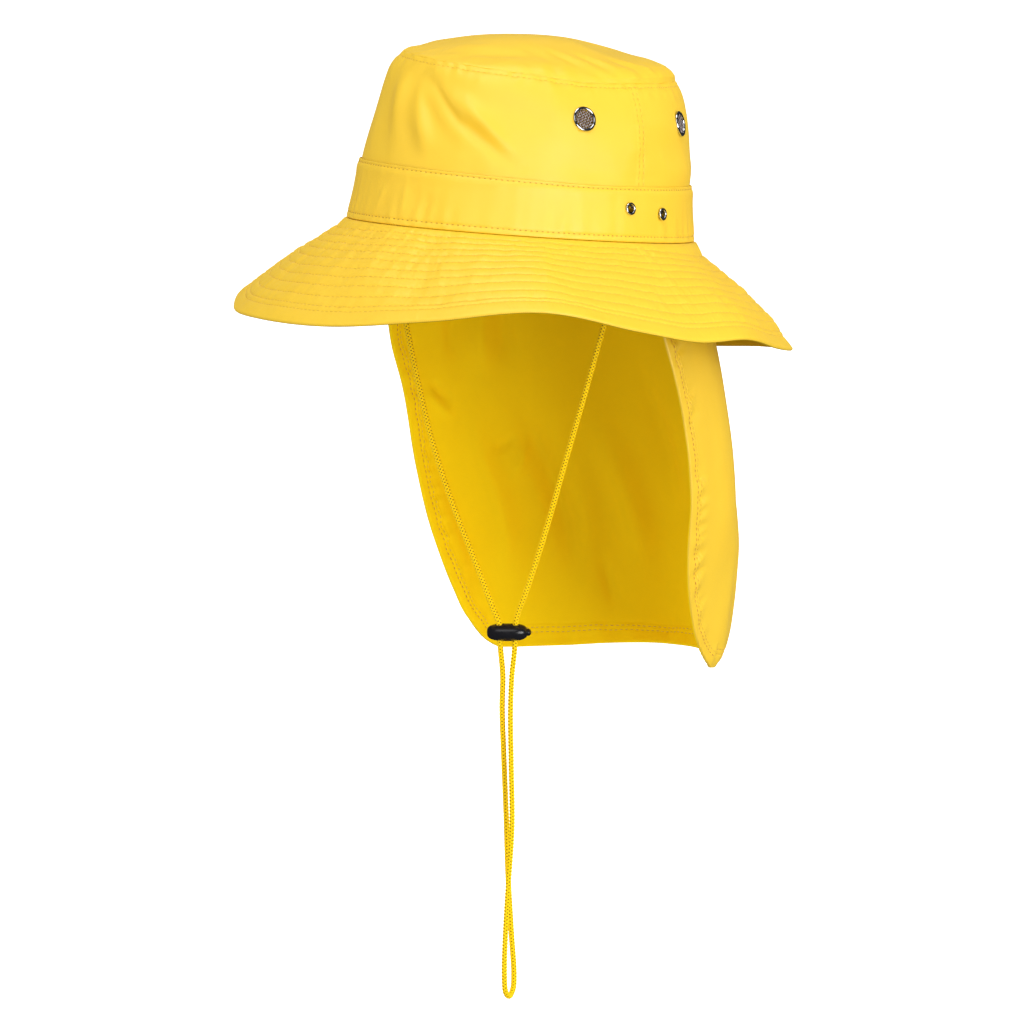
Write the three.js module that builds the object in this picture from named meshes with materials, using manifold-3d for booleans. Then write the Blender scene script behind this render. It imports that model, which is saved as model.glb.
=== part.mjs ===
// A cotton sun hat with a wide downturned brim, metal vents, a neck flap behind and a chin cord in front.
// Millimetres, +Z up. The front of the hat faces -Y and the wearer's left is +X.
// The origin is the centre of the head opening, at the foot of the crown.
// Angles run round the hat from its front, 0, to the wearer's left, 90, and the back, 180.

import * as THREE from 'three';
import { mergeVertices } from 'three/addons/utils/BufferGeometryUtils.js';
import Module from 'manifold-3d';

const wasm = await Module();
wasm.setup();

// Driving dimensions
const PITCH_DEG = 6.9; // the hat leans back by this much, front up
const GAP = 0.3; // clearance between pieces that touch
const CLOTH = 1.5; // wall of the crown and of the flap
const BAND_CLOTH = 1.3;
const BRIM_CLOTH = 2.0; // layers of cloth stitched together

const CROWN_HEIGHT = 104.5; // foot of the crown to the top of the dome
const DOME_FULLNESS = 2.2; // power of the dome's profile
const DOME_EDGE_FULLNESS = 18; // power of the steep part next to the tip seam

const VENTS = [{ angle: 64, height: 62.8 }, { angle: 115.6, height: 62.8 }];
const VENT_HOLE_RADIUS = 6.2;
const MESH_RADIUS = 4.9;
const MESH_THICKNESS = 0.5;
const MESH_RISE = 0.3; // above the cloth's outer face
const EYELETS = [{ angle: 82.4, height: 17.3 }, { angle: 98, height: 15 }];
const EYELET_HOLE_RADIUS = 2.8;

const FLAP_MARGIN = 10; // stands up inside the crown, sewn to it

const CORD_DIAMETER = 3.2;
const CORD_SIDES = 8;
const CORD_STEPS_A_SPAN = 2;

const LOCK_CENTRE = new THREE.Vector3(0, -11.4, -218);
const LOCK_TURN_DEG = 40; // the lock's long axis, turned from +X towards +Y
const LOCK_HALF_LENGTH = 11;
const LOCK_HALF_DEPTH = 5.2;
const LOCK_HALF_HEIGHT = 4.75;
const LOCK_FULLNESS = 3; // power of the body's profile along its length
const LOCK_HOLE_OFFSET = 4.3; // from the lock's centre to each cord hole
const LOCK_HOLE_RADIUS = 2.2;
const BUTTON_HALF_DEPTH = 2.85;
const BUTTON_HALF_HEIGHT = 2;
const BUTTON_TRAVEL = 1.5;
const BUTTON_PROUD = 1.9; // stands out of the body by this much

// Crown's outer face: half length along Y, half width along X and shift to the back, at shares of the seam's height.
const CROWN_PROFILE = [
  { rise: 0, length: 100.6, width: 85.1, back: 0 },
  { rise: 0.34, length: 96.4, width: 81.8, back: 0.5 },
  { rise: 0.5, length: 94.9, width: 80.2, back: 1.4 },
  { rise: 0.7, length: 92.6, width: 76.8, back: 2.6 },
  { rise: 0.86, length: 89.8, width: 72.4, back: 3.8 },
  { rise: 0.95, length: 86.6, width: 68.8, back: 4.6 },
  { rise: 1, length: 83.4, width: 65.6, back: 5.2 },
];
const CROWN_COLUMNS = 24; // round each of the two side panels
const CROWN_ROWS = [0, 0.176, 0.352, 0.52, 0.7, 0.86, 0.95, 1];
const BAND_ROWS = 2; // rows of the crown that the band covers
const TIP_ROWS = [0, 0.07, 0.22, 0.45, 0.72, 1]; // from the seam to the top

// Round the crown: the height of the tip seam, and how steeply the tip first rises from it.
const TIP_SEAM = [
  { angle: -90, height: 88, edge: 1 },
  { angle: -46, height: 90.8, edge: 0 },
  { angle: -15, height: 89, edge: 0 },
  { angle: 20, height: 86, edge: 1 },
  { angle: 45, height: 84, edge: 2.5 },
  { angle: 68, height: 82, edge: 4 },
  { angle: 90, height: 83, edge: 5 },
  { angle: 133, height: 84.6, edge: 6.5 },
  { angle: 180, height: 84.5, edge: 5 },
  { angle: 225, height: 86, edge: 3 },
];

// Soft dents and ridges of the crown: the place, the slant, the reach along and across, and the depth of each.
const CROWN_FOLDS = [
  { angle: -14, height: 66, slant: 8, along: 26, across: 7, depth: 1.4 },
  { angle: 2, height: 62, slant: 55, along: 34, across: 7, depth: -2.2 },
  { angle: 10, height: 70, slant: 50, along: 26, across: 7, depth: 1.2 },
  { angle: 150, height: 52, slant: 20, along: 30, across: 12, depth: 1.6 },
  { angle: -140, height: 52, slant: -30, along: 30, across: 9, depth: -1.8 },
];

// Brim: how far its edge reaches out from the band and falls below it, at angles round the hat. The fall starts with
// a short drop at the band, and goes on at `start` times its mean slope.
const BRIM_EDGE = [
  { angle: -46, reach: 56.4, fall: 51.5, drop: 1.6, start: 0.8 },
  { angle: -22, reach: 58, fall: 53, drop: 1, start: 0.76 },
  { angle: 4, reach: 61.7, fall: 51.7, drop: 0, start: 0.7 },
  { angle: 25, reach: 67.2, fall: 43.6, drop: 0, start: 0.66 },
  { angle: 45, reach: 71.4, fall: 34.4, drop: 0, start: 0.62 },
  { angle: 65, reach: 66.2, fall: 41.6, drop: 0, start: 0.66 },
  { angle: 81, reach: 61.8, fall: 46.1, drop: 0, start: 0.7 },
  { angle: 96, reach: 62.4, fall: 43.8, drop: 1, start: 0.76 },
  { angle: 112, reach: 61.6, fall: 48, drop: 3, start: 0.78 },
  { angle: 134, reach: 60, fall: 52.2, drop: 4, start: 0.78 },
  { angle: 154, reach: 52, fall: 55, drop: 3, start: 0.78 },
  { angle: 176, reach: 43, fall: 59.5, drop: 1, start: 0.76 },
  { angle: 200, reach: 45, fall: 57.5, drop: 0, start: 0.7 },
  { angle: 224, reach: 52.5, fall: 52, drop: 0, start: 0.7 },
  { angle: 248, reach: 58.5, fall: 47, drop: 0, start: 0.7 },
  { angle: 268, reach: 62, fall: 46, drop: 0, start: 0.7 },
  { angle: 290, reach: 62.5, fall: 44, drop: 0.8, start: 0.76 },
];
const BRIM_DROP_WIDTH = 0.08; // share of the way out that the drop takes
const BRIM_SEAT = 2.9; // flat margin under the crown and the band
const BRIM_COLUMNS = 60;
const BRIM_ROWS = [0, 0.045, 0.12, 0.3, 0.48, 0.66, 0.83, 1]; // shares of the way out

// Neck flap: the plan of its inner face from the top edge, 0, to the bottom, 1. `front` is where its front edges are, along Y.
const FLAP_PLAN = [
  { down: 0, width: 80.4, length: 94.9, back: 1.2, front: 1.6 },
  { down: 0.04, width: 81.3, length: 96.1, back: 0, front: 1.2 },
  { down: 0.06, width: 81.7, length: 96.5, back: 0, front: 1 },
  { down: 0.12, width: 87.8, length: 100.5, back: 0.5, front: 0.5 },
  { down: 0.24, width: 95.5, length: 106.1, back: 2, front: 2 },
  { down: 0.32, width: 98.1, length: 109.5, back: 4, front: 7.4 },
  { down: 0.42, width: 97.9, length: 114.1, back: 7, front: 16.3 },
  { down: 0.6, width: 96.5, length: 121.8, back: 12, front: 25.6 },
  { down: 0.72, width: 91.1, length: 124.7, back: 17, front: 30 },
  { down: 0.8, width: 87.3, length: 122.9, back: 20, front: 35.2 },
  { down: 0.88, width: 84.7, length: 119.9, back: 22, front: 43.1 },
  { down: 0.94, width: 83.3, length: 114.4, back: 24, front: 51 },
  { down: 0.98, width: 82.3, length: 107.2, back: 25.5, front: 61 },
  { down: 1, width: 81.3, length: 100.8, back: 26, front: 70 },
];
const FLAP_COLUMNS = 36;
const FLAP_ROWS = [0, 0.06, 0.14, 0.25, 0.37, 0.49, 0.61, 0.72, 0.81, 0.89, 0.95, 0.985, 1];
// Height of the flap's lower edge round the back.
const FLAP_HEM = [
  { angle: 105, height: -238 },
  { angle: 117, height: -242 },
  { angle: 126, height: -245 },
  { angle: 142, height: -244.5 },
  { angle: 158, height: -243 },
  { angle: 180, height: -244.4 },
  { angle: 235, height: -248 },
  { angle: 255, height: -246 },
];
// Upright folds of the flap: the place round the back, the width and the depth of each at its deepest.
const FLAP_FOLDS = [
  { angle: 118, across: 9, depth: 2.5 },
  { angle: 150, across: 11, depth: -1.8 },
  { angle: 186, across: 10, depth: 1.2 },
  { angle: 218, across: 9, depth: -2.2 },
  { angle: 246, across: 8, depth: 2.5 },
];

// The chin cord's route: down from the wearer's right into the lock, round the loop, and up to the wearer's left.
const CORD_ROUTE = [
  [-79.4, -9.9, 13], [-80.8, -11.2, 1], [-80.2, -11.4, -14], [-76.8, -11.4, -34], [-71.4, -11.4, -57],
  [-63.5, -11.4, -86], [-53.4, -11.5, -118], [-39.2, -11.8, -150], [-22, -12.6, -181], [-8.2, -13.8, -205],
  [-3.5, -14.2, -213], [-3.3, -14.2, -219], [-3.2, -13.2, -228], [-2.8, -11.9, -242], [-2.9, -12.3, -260],
  [-3.2, -10.6, -286], [-3.7, -8, -320], [-3.5, -6.6, -354], [-2.6, -4.9, -386], [-1.9, -3.6, -408],
  [-1.3, -5, -416.4], [0, -9.6, -419.6], [1.3, -14.4, -416.4], [1.9, -16.2, -407], [2.6, -16.3, -386],
  [3.4, -14.6, -356], [3.7, -11.9, -324], [3.2, -12, -290], [2.8, -12.1, -262], [2.8, -11, -242],
  [3.2, -9.2, -228], [3.3, -8.6, -218], [4.1, -8.7, -211], [13, -9.3, -191], [26, -10, -159],
  [40, -10.6, -120], [54, -11, -81], [67.4, -11.4, -43], [76.6, -11.4, -18], [80.8, -11.2, 1], [79.4, -9.9, 13],
];

const radians = THREE.MathUtils.degToRad;

// Smooth values between the rows of a table, read by the column `key`.
function tableReader(rows, key, columns) {
  const places = rows.map((row) => row[key]);
  const values = rows.flatMap((row) => columns.map((column) => row[column]));
  const curve = new THREE.CubicInterpolant(places, values, columns.length);
  return (place) => {
    const found = curve.evaluate(place);
    return Object.fromEntries(columns.map((column, i) => [column, found[i]]));
  };
}

// Repeats the rows of a table that runs round the hat, before its start and after its end.
function roundTheHat(rows) {
  const turned = (row, turn) => ({ ...row, angle: row.angle + turn });
  return [...rows.map((row) => turned(row, -360)), ...rows, ...rows.map((row) => turned(row, 360))];
}

const crownAt = tableReader(CROWN_PROFILE, 'rise', ['length', 'width', 'back']);
const tipSeamAt = tableReader(roundTheHat(TIP_SEAM), 'angle', ['height', 'edge']);
const brimEdgeAt = tableReader(roundTheHat(BRIM_EDGE), 'angle', ['reach', 'fall', 'drop', 'start']);
const flapHemAt = tableReader(FLAP_HEM, 'angle', ['height']);
const flapAt = tableReader(FLAP_PLAN, 'down', ['width', 'length', 'back', 'front']);

// Shortest way round from one angle to another, in degrees.
function turnBetween(from, to) {
  return THREE.MathUtils.euclideanModulo(to - from + 180, 360) - 180;
}

// Merges the corners that meet, drops faces with no area, and turns all faces outwards.
function closedGeometry(source) {
  const bare = new THREE.BufferGeometry();
  bare.setAttribute('position', source.getAttribute('position').clone());
  if (source.index) {
    bare.setIndex(source.index.clone());
  }
  const merged = mergeVertices(bare, 1e-4);
  const corners = merged.getAttribute('position');
  const faces = [];
  let volume = 0;
  for (let i = 0; i < merged.index.count; i += 3) {
    const [a, b, c] = [0, 1, 2].map((k) => merged.index.getX(i + k));
    if (a === b || b === c || c === a) {
      continue;
    }
    faces.push([a, b, c]);
    const [pa, pb, pc] = [a, b, c].map((k) => new THREE.Vector3().fromBufferAttribute(corners, k));
    volume += pa.dot(pb.cross(pc));
  }
  merged.setIndex(faces.flatMap(([a, b, c]) => (volume > 0 ? [a, b, c] : [a, c, b])));
  return merged;
}

function toSolid(geometry) {
  const closed = closedGeometry(geometry);
  return new wasm.Manifold(new wasm.Mesh({
    numProp: 3,
    vertProperties: new Float32Array(closed.getAttribute('position').array),
    triVerts: new Uint32Array(closed.index.array),
  }));
}

function fromSolid(solid) {
  const { vertProperties, triVerts, numProp } = solid.getMesh();
  const geometry = new THREE.BufferGeometry();
  const corners = [];
  for (let i = 0; i < vertProperties.length; i += numProp) {
    corners.push(vertProperties[i], vertProperties[i + 1], vertProperties[i + 2]);
  }
  geometry.setAttribute('position', new THREE.Float32BufferAttribute(corners, 3));
  geometry.setIndex([...triVerts]);
  return geometry;
}

// Outward normal of a surface(angle, place), from points close by. At a seam or an edge, place 1, the rows on both
// sides of it share one normal, so that the walls that meet there are mitred.
function surfaceNormal(surface, angle, rowPlace) {
  const place = Math.abs(rowPlace - 1) < 0.005 ? 1 : rowPlace;
  const round = surface(angle + 0.5, place).sub(surface(angle - 0.5, place));
  const along = surface(angle, place + 0.004).sub(surface(angle, place - 0.004));
  const normal = round.cross(along);
  return normal.lengthSq() < 1e-9 ? new THREE.Vector3(0, 0, 1) : normal.normalize();
}

// A cloth wall over a surface: its outer face at `outer` and its inner face at `outer - thickness` from the surface.
// `angleAt(share, place)` gives the angle of each column. A ring closes on itself, and a panel is closed at its ends.
function clothWall(surface, { angleAt, columns, places, ring, outer = 0, thickness }) {
  const across = ring ? columns : columns + 1;
  const corners = [];
  for (const offset of [outer, outer - thickness]) {
    for (const place of places) {
      for (let column = 0; column < across; column++) {
        const angle = angleAt(column / columns, place);
        const point = surface(angle, place);
        point.addScaledVector(surfaceNormal(surface, angle, place), offset);
        corners.push(point.x, point.y, point.z);
      }
    }
  }
  const rows = places.length - 1;
  const at = (face, column, row) => face * across * places.length + row * across + (column % across);
  const faces = [];
  const quad = (a, b, c, d) => faces.push(a, b, c, a, c, d);
  for (let column = 0; column < columns; column++) {
    const next = column + 1;
    for (let row = 0; row < rows; row++) {
      quad(at(0, column, row), at(0, next, row), at(0, next, row + 1), at(0, column, row + 1));
      quad(at(1, column, row), at(1, column, row + 1), at(1, next, row + 1), at(1, next, row));
    }
    quad(at(1, column, 0), at(1, next, 0), at(0, next, 0), at(0, column, 0));
    quad(at(0, column, rows), at(0, next, rows), at(1, next, rows), at(1, column, rows));
  }
  if (!ring) {
    for (let row = 0; row < rows; row++) {
      quad(at(1, 0, row), at(0, 0, row), at(0, 0, row + 1), at(1, 0, row + 1));
      quad(at(0, columns, row), at(1, columns, row), at(1, columns, row + 1), at(0, columns, row + 1));
    }
  }
  const geometry = new THREE.BufferGeometry();
  geometry.setAttribute('position', new THREE.Float32BufferAttribute(corners, 3));
  geometry.setIndex(faces);
  return closedGeometry(geometry);
}

// Crown

function tipSeam(angle) {
  return tipSeamAt(THREE.MathUtils.euclideanModulo(angle, 360));
}

// How far the crown's cloth stands out or in at a place, from the table of folds.
function crownFold(angle, height) {
  let depth = 0;
  for (const fold of CROWN_FOLDS) {
    const aside = turnBetween(fold.angle, angle) * radians(1) * CROWN_PROFILE[3].length;
    const above = height - fold.height;
    const slant = radians(fold.slant);
    const along = above * Math.cos(slant) - aside * Math.sin(slant);
    const across = above * Math.sin(slant) + aside * Math.cos(slant);
    depth += fold.depth * Math.exp(-((along / fold.along) ** 2) - (across / fold.across) ** 2);
  }
  return depth;
}

// The crown's outer face: place 0 is its foot, 1 the tip seam and 2 the top of the dome.
function crownSurface(angle, place) {
  const turn = radians(angle);
  const { height: seam, edge } = tipSeam(angle);
  const rise = Math.min(place, 1);
  const inward = 2 - THREE.MathUtils.clamp(place, 1, 2);
  const { length, width, back } = crownAt(rise);
  const fold = crownFold(angle, rise * seam);
  const steep = edge * (1 - inward ** DOME_EDGE_FULLNESS);
  const dome = (CROWN_HEIGHT - seam - edge) * (1 - inward ** DOME_FULLNESS);
  const x = (width + fold) * Math.sin(turn) * inward;
  const y = -(length + fold) * Math.cos(turn) * inward + back;
  return new THREE.Vector3(x, y, seam * rise + steep + dome);
}

function placeAtHeight(angle, height) {
  return height / tipSeam(angle).height;
}

// Puts a piece that is modelled round +Z on the crown: +Z becomes the cloth's outward normal.
function placeOnCrown(mesh, angle, height, offset) {
  const place = placeAtHeight(angle, height);
  const normal = surfaceNormal(crownSurface, angle, place);
  mesh.position.copy(crownSurface(angle, place)).addScaledVector(normal, offset);
  mesh.quaternion.setFromUnitVectors(new THREE.Vector3(0, 0, 1), normal);
  mesh.updateMatrix();
  return mesh;
}

// Cuts a round hole through cloth, square to the crown.
function cutHole(cloth, angle, height, radius) {
  const drill = new THREE.CylinderGeometry(radius, radius, 14, 12).rotateX(Math.PI / 2);
  const tool = placeOnCrown(new THREE.Mesh(drill), angle, height, 0);
  return cloth.subtract(toSolid(drill.clone().applyMatrix4(tool.matrix)));
}

// Both sides of the hat have the same holes.
function bothSides(holes) {
  return [...holes, ...holes.map(({ angle, height }) => ({ angle: -angle, height }))];
}

function cutHoles(cloth, holes, radius) {
  return bothSides(holes).reduce((rest, { angle, height }) => cutHole(rest, angle, height, radius), cloth);
}

// One side panel of the crown, from side seam to side seam, round the angle `middle`.
function crownPanel(middle) {
  const seamGap = THREE.MathUtils.radToDeg(GAP / 2 / CROWN_PROFILE[0].width);
  const halfTurn = 90 - seamGap;
  const wall = clothWall(crownSurface, {
    angleAt: (share) => middle - halfTurn + 2 * halfTurn * share,
    columns: CROWN_COLUMNS,
    places: CROWN_ROWS.map((row) => row * (1 - GAP / 2 / CROWN_HEIGHT)),
    thickness: CLOTH,
  });
  const vented = cutHoles(toSolid(wall), VENTS, VENT_HOLE_RADIUS);
  return fromSolid(cutHoles(vented, EYELETS, EYELET_HOLE_RADIUS));
}

function crownTip() {
  const start = 1 + GAP / 2 / CROWN_HEIGHT;
  return clothWall(crownSurface, {
    angleAt: (share) => 90 + 360 * share,
    columns: 2 * CROWN_COLUMNS,
    places: TIP_ROWS.map((row) => THREE.MathUtils.lerp(start, 2, row)),
    ring: true,
    thickness: CLOTH,
  });
}

function hatBand() {
  const band = clothWall(crownSurface, {
    angleAt: (share) => 90 + 360 * share,
    columns: 2 * CROWN_COLUMNS,
    places: CROWN_ROWS.slice(0, BAND_ROWS + 1),
    ring: true,
    outer: GAP + BAND_CLOTH,
    thickness: BAND_CLOTH,
  });
  return fromSolid(cutHoles(toSolid(band), EYELETS, EYELET_HOLE_RADIUS));
}

// Brim

// The brim's upper face: place 0 is its inner edge, under the middle of the crown's wall, and 1 its outer edge.
function brimSurface(angle, place) {
  const turn = radians(angle);
  const { reach, fall, drop, start } = brimEdgeAt(THREE.MathUtils.euclideanModulo(angle, 360));
  const foot = crownAt(0);
  const inner = new THREE.Vector3(
    (foot.width - CLOTH / 2) * Math.sin(turn),
    -(foot.length - CLOTH / 2) * Math.cos(turn),
    -GAP,
  );
  const outward = new THREE.Vector3(Math.sin(turn) / foot.width, -Math.cos(turn) / foot.length, 0).normalize();
  const seatShare = BRIM_ROWS[1];
  const past = Math.max(0, (place - seatShare) / (1 - seatShare));
  const seated = BRIM_SEAT * Math.min(1, place / seatShare);
  inner.addScaledVector(outward, seated + reach * past);
  inner.z -= drop * THREE.MathUtils.smoothstep(past, 0, BRIM_DROP_WIDTH);
  inner.z -= (fall - drop) * past * (start + (1 - start) * past);
  return inner;
}

function brim() {
  return clothWall(brimSurface, {
    angleAt: (share) => 360 * share,
    columns: BRIM_COLUMNS,
    places: BRIM_ROWS,
    ring: true,
    thickness: -BRIM_CLOTH,
  });
}

// Neck flap

// The flap's inner face, hung plumb from the foot of the leaning crown: place 0 is its top edge and 1 the bottom.
function flapSurface(angle, place) {
  const turn = radians(angle);
  const { width, length, back } = flapAt(THREE.MathUtils.clamp(place, 0, 1));
  const lean = radians(PITCH_DEG);
  let fold = 0;
  for (const { angle: middle, across, depth } of FLAP_FOLDS) {
    fold += depth * Math.exp(-((turnBetween(middle, angle) / across) ** 2));
  }
  fold *= THREE.MathUtils.smoothstep(place, 0.08, 0.6);
  const top = length * Math.cos(turn) * Math.sin(lean) + FLAP_MARGIN * Math.cos(lean);
  const bottom = flapHemAt(angle).height;
  return new THREE.Vector3(
    (width + fold) * Math.sin(turn),
    -(length + fold) * Math.cos(turn) + back,
    THREE.MathUtils.lerp(top, bottom, place),
  );
}

function neckFlap() {
  const frontAngle = (place) => {
    const { length, back, front } = flapAt(place);
    return THREE.MathUtils.radToDeg(Math.acos((back - front) / length));
  };
  return clothWall(flapSurface, {
    angleAt: (share, place) => THREE.MathUtils.lerp(frontAngle(place), 360 - frontAngle(place), share),
    columns: FLAP_COLUMNS,
    places: FLAP_ROWS,
    thickness: CLOTH,
  });
}

// Metal trim: each rim is turned from a closed profile of radius and height above the cloth's outer face.

function turnedRing(profile, sides) {
  const closed = [...profile, profile[0]].map(([radius, height]) => new THREE.Vector2(radius, height));
  return closedGeometry(new THREE.LatheGeometry(closed, sides).rotateX(Math.PI / 2));
}

function ventRing() {
  const throughCloth = -CLOTH - 0.4;
  return turnedRing([
    [5.2, throughCloth], [5.9, throughCloth], [5.9, GAP + 0.05], [6.75, GAP + 0.05], [6.5, 1.2], [5.8, 1.5], [5.2, 1.2],
  ], 12);
}

function ventMesh() {
  return new THREE.CylinderGeometry(MESH_RADIUS, MESH_RADIUS, MESH_THICKNESS, 12).rotateX(Math.PI / 2);
}

function bandEyelet() {
  const face = GAP + BAND_CLOTH;
  const throughCloth = -CLOTH - 0.4;
  return turnedRing([
    [2, throughCloth], [2.5, throughCloth], [2.5, face + GAP], [3.5, face + GAP], [3.2, face + 1], [2.6, face + 1.3],
    [2, face + 1],
  ], 10);
}

// Cord: a curve that spends the same share of its steps on each span of its route.
class RouteCurve extends THREE.CatmullRomCurve3 {
  getUtoTmapping(u) {
    return u;
  }
}

function chinCord() {
  const route = new RouteCurve(CORD_ROUTE.map((point) => new THREE.Vector3(...point)));
  const section = new THREE.Shape();
  for (let side = 0; side < CORD_SIDES; side++) {
    const turn = (side / CORD_SIDES) * 2 * Math.PI;
    const [x, y] = [Math.cos(turn), Math.sin(turn)].map((value) => (value * CORD_DIAMETER) / 2);
    if (side === 0) {
      section.moveTo(x, y);
    } else {
      section.lineTo(x, y);
    }
  }
  section.closePath();
  const steps = (CORD_ROUTE.length - 1) * CORD_STEPS_A_SPAN;
  return closedGeometry(new THREE.ExtrudeGeometry(section, { steps, extrudePath: route, bevelEnabled: false }));
}

// Cord lock, along its own X, with the button at the +X end.

// A rounded bar round the X axis, from the lathe of a profile, drawn out in depth and height.
function roundedBar(profile, halfDepth, halfHeight, sides) {
  const points = profile.map(([along, share]) => new THREE.Vector2(share, along));
  return new THREE.LatheGeometry(points, sides).rotateZ(-Math.PI / 2).scale(1, halfDepth, halfHeight);
}

function lockBody() {
  const steps = 8;
  const profile = [];
  for (let step = 0; step <= steps; step++) {
    const along = -Math.cos((step / steps) * Math.PI);
    const share = (1 - Math.abs(along) ** LOCK_FULLNESS) ** (1 / LOCK_FULLNESS);
    profile.push([along * LOCK_HALF_LENGTH, step === 0 || step === steps ? 0 : share]);
  }
  let solid = toSolid(roundedBar(profile, LOCK_HALF_DEPTH, LOCK_HALF_HEIGHT, 16));
  for (const side of [-1, 1]) {
    const drill = new THREE.CylinderGeometry(LOCK_HOLE_RADIUS, LOCK_HOLE_RADIUS, 4 * LOCK_HALF_HEIGHT, 10);
    drill.rotateX(Math.PI / 2).translate(side * LOCK_HOLE_OFFSET, 0, 0);
    solid = solid.subtract(toSolid(drill));
  }
  const bore = buttonBar(BUTTON_TRAVEL + 2 * GAP, LOCK_HALF_LENGTH * 2, GAP);
  return fromSolid(solid.subtract(toSolid(bore)));
}

// The button's bar, or with a clearance round it the bore that it slides in.
function buttonBar(deeper, tail, clearance) {
  const windowEnd = LOCK_HOLE_OFFSET + CORD_DIAMETER / 2 + GAP;
  const start = -windowEnd - 1.1 - deeper;
  const profile = [
    [start, 0], [start, 0.72], [start + 0.8, 1], [tail - 1, 1], [tail - 0.2, 0.7], [tail, 0],
  ];
  return roundedBar(profile, BUTTON_HALF_DEPTH + clearance, BUTTON_HALF_HEIGHT + clearance, 16);
}

function lockButton() {
  let solid = toSolid(buttonBar(0, LOCK_HALF_LENGTH + BUTTON_PROUD, 0));
  const halfCord = CORD_DIAMETER / 2 + GAP;
  for (const side of [-1, 1]) {
    const middle = side * LOCK_HOLE_OFFSET;
    const slot = new THREE.BoxGeometry(2 * halfCord + BUTTON_TRAVEL, 2 * halfCord, 4 * BUTTON_HALF_HEIGHT);
    slot.translate(middle + BUTTON_TRAVEL / 2, 0, 0);
    solid = solid.subtract(toSolid(slot));
  }
  return fromSolid(solid);
}

// Materials

const cottonColour = new THREE.Color('#f3cd3f');
const finishes = {
  cotton: () => new THREE.MeshStandardMaterial({ color: cottonColour, roughness: 0.9, metalness: 0 }),
  cord: () => new THREE.MeshStandardMaterial({ color: '#efc636', roughness: 0.85, metalness: 0 }),
  chrome: () => new THREE.MeshStandardMaterial({ color: '#c9ccd2', roughness: 0.22, metalness: 1 }),
  wire: () => new THREE.MeshStandardMaterial({ color: '#8d8a84', roughness: 0.4, metalness: 1 }),
  plastic: () => new THREE.MeshStandardMaterial({ color: '#17171b', roughness: 0.2, metalness: 0 }),
};

function named(name, geometry, finish) {
  const mesh = new THREE.Mesh(geometry, finishes[finish]());
  mesh.name = name;
  return mesh;
}

// Assembly: the hat leans back as worn, and the flap, cord and lock hang plumb.

const hat = new THREE.Group();
hat.rotation.x = -radians(PITCH_DEG);
hat.add(named('crown_tip', crownTip(), 'cotton'));
hat.add(named('crown_front', crownPanel(0), 'cotton'));
hat.add(named('crown_back', crownPanel(180), 'cotton'));
hat.add(named('hat_band', hatBand(), 'cotton'));
hat.add(named('brim', brim(), 'cotton'));
bothSides(VENTS).forEach(({ angle, height }, i) => {
  hat.add(placeOnCrown(named(`vent_ring_${i + 1}`, ventRing(), 'chrome'), angle, height, 0));
  hat.add(placeOnCrown(named(`vent_mesh_${i + 1}`, ventMesh(), 'wire'), angle, height, MESH_RISE));
});
bothSides(EYELETS).forEach(({ angle, height }, i) => {
  hat.add(placeOnCrown(named(`band_eyelet_${i + 1}`, bandEyelet(), 'chrome'), angle, height, 0));
});

const lock = new THREE.Group();
lock.position.copy(LOCK_CENTRE);
lock.rotation.z = radians(LOCK_TURN_DEG);
lock.add(named('cord_lock_body', lockBody(), 'plastic'));
lock.add(named('cord_lock_button', lockButton(), 'plastic'));

const sunHat = new THREE.Group();
sunHat.add(hat);
sunHat.add(named('neck_flap', neckFlap(), 'cotton'));
sunHat.add(named('chin_cord', chinCord(), 'cord'));
sunHat.add(lock);

export default sunHat;
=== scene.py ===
"""A yellow cotton sun hat with a stitched brim, metal vents, a neck flap and a chin cord.

It is dressed over its solids. Sizes are in millimetres until a mesh is made. Angles run round the hat from
its front, 0, to the wearer's left, 90, and the back, 180.
"""

import logging
import math
from collections.abc import Iterator, Sequence
from contextlib import contextmanager
from dataclasses import asdict, dataclass, field, replace
from enum import Enum

import bmesh
import bpy
import numpy as np
from mathutils import Matrix, Vector
from mathutils.bvhtree import BVHTree


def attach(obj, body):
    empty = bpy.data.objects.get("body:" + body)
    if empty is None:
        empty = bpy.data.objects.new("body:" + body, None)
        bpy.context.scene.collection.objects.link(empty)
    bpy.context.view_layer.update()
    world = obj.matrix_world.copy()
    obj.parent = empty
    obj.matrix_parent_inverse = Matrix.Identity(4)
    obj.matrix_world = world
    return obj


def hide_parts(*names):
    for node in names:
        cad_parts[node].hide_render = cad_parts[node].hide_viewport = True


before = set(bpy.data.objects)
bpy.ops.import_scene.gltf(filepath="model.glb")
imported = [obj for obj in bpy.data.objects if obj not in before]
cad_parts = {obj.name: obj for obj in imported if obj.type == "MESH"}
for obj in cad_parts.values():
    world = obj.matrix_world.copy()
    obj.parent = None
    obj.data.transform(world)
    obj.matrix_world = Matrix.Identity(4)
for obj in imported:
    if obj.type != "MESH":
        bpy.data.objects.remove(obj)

Array = np.ndarray
Colour = tuple[float, float, float]
Mesh = bpy.types.Mesh
Piece = bpy.types.Object
Material = bpy.types.Material
Socket = bpy.types.NodeSocket
Shell = tuple[Array, Array]  # corners in millimetres, and four corner numbers a face
Outline = Sequence[tuple[float, float]]
Path = tuple[Array, Array, bool]  # points in metres, a direction at each, and whether the line is closed

MM = 0.001
HAT_BODY = "hat"
BUTTON_BODY = "lock_button"
UV_NAME = "cloth"
NORMAL_NAME = "surface_normal"
STRAND_NAME = "strand_height"
SEAM_SHARE = 0.72  # how thick a sewn edge still is, as a share of the cloth
log = logging.getLogger("sun_hat")


class Side(Enum):
    """The two faces of a cloth wall."""

    OUTER = 0
    INNER = 1


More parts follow.
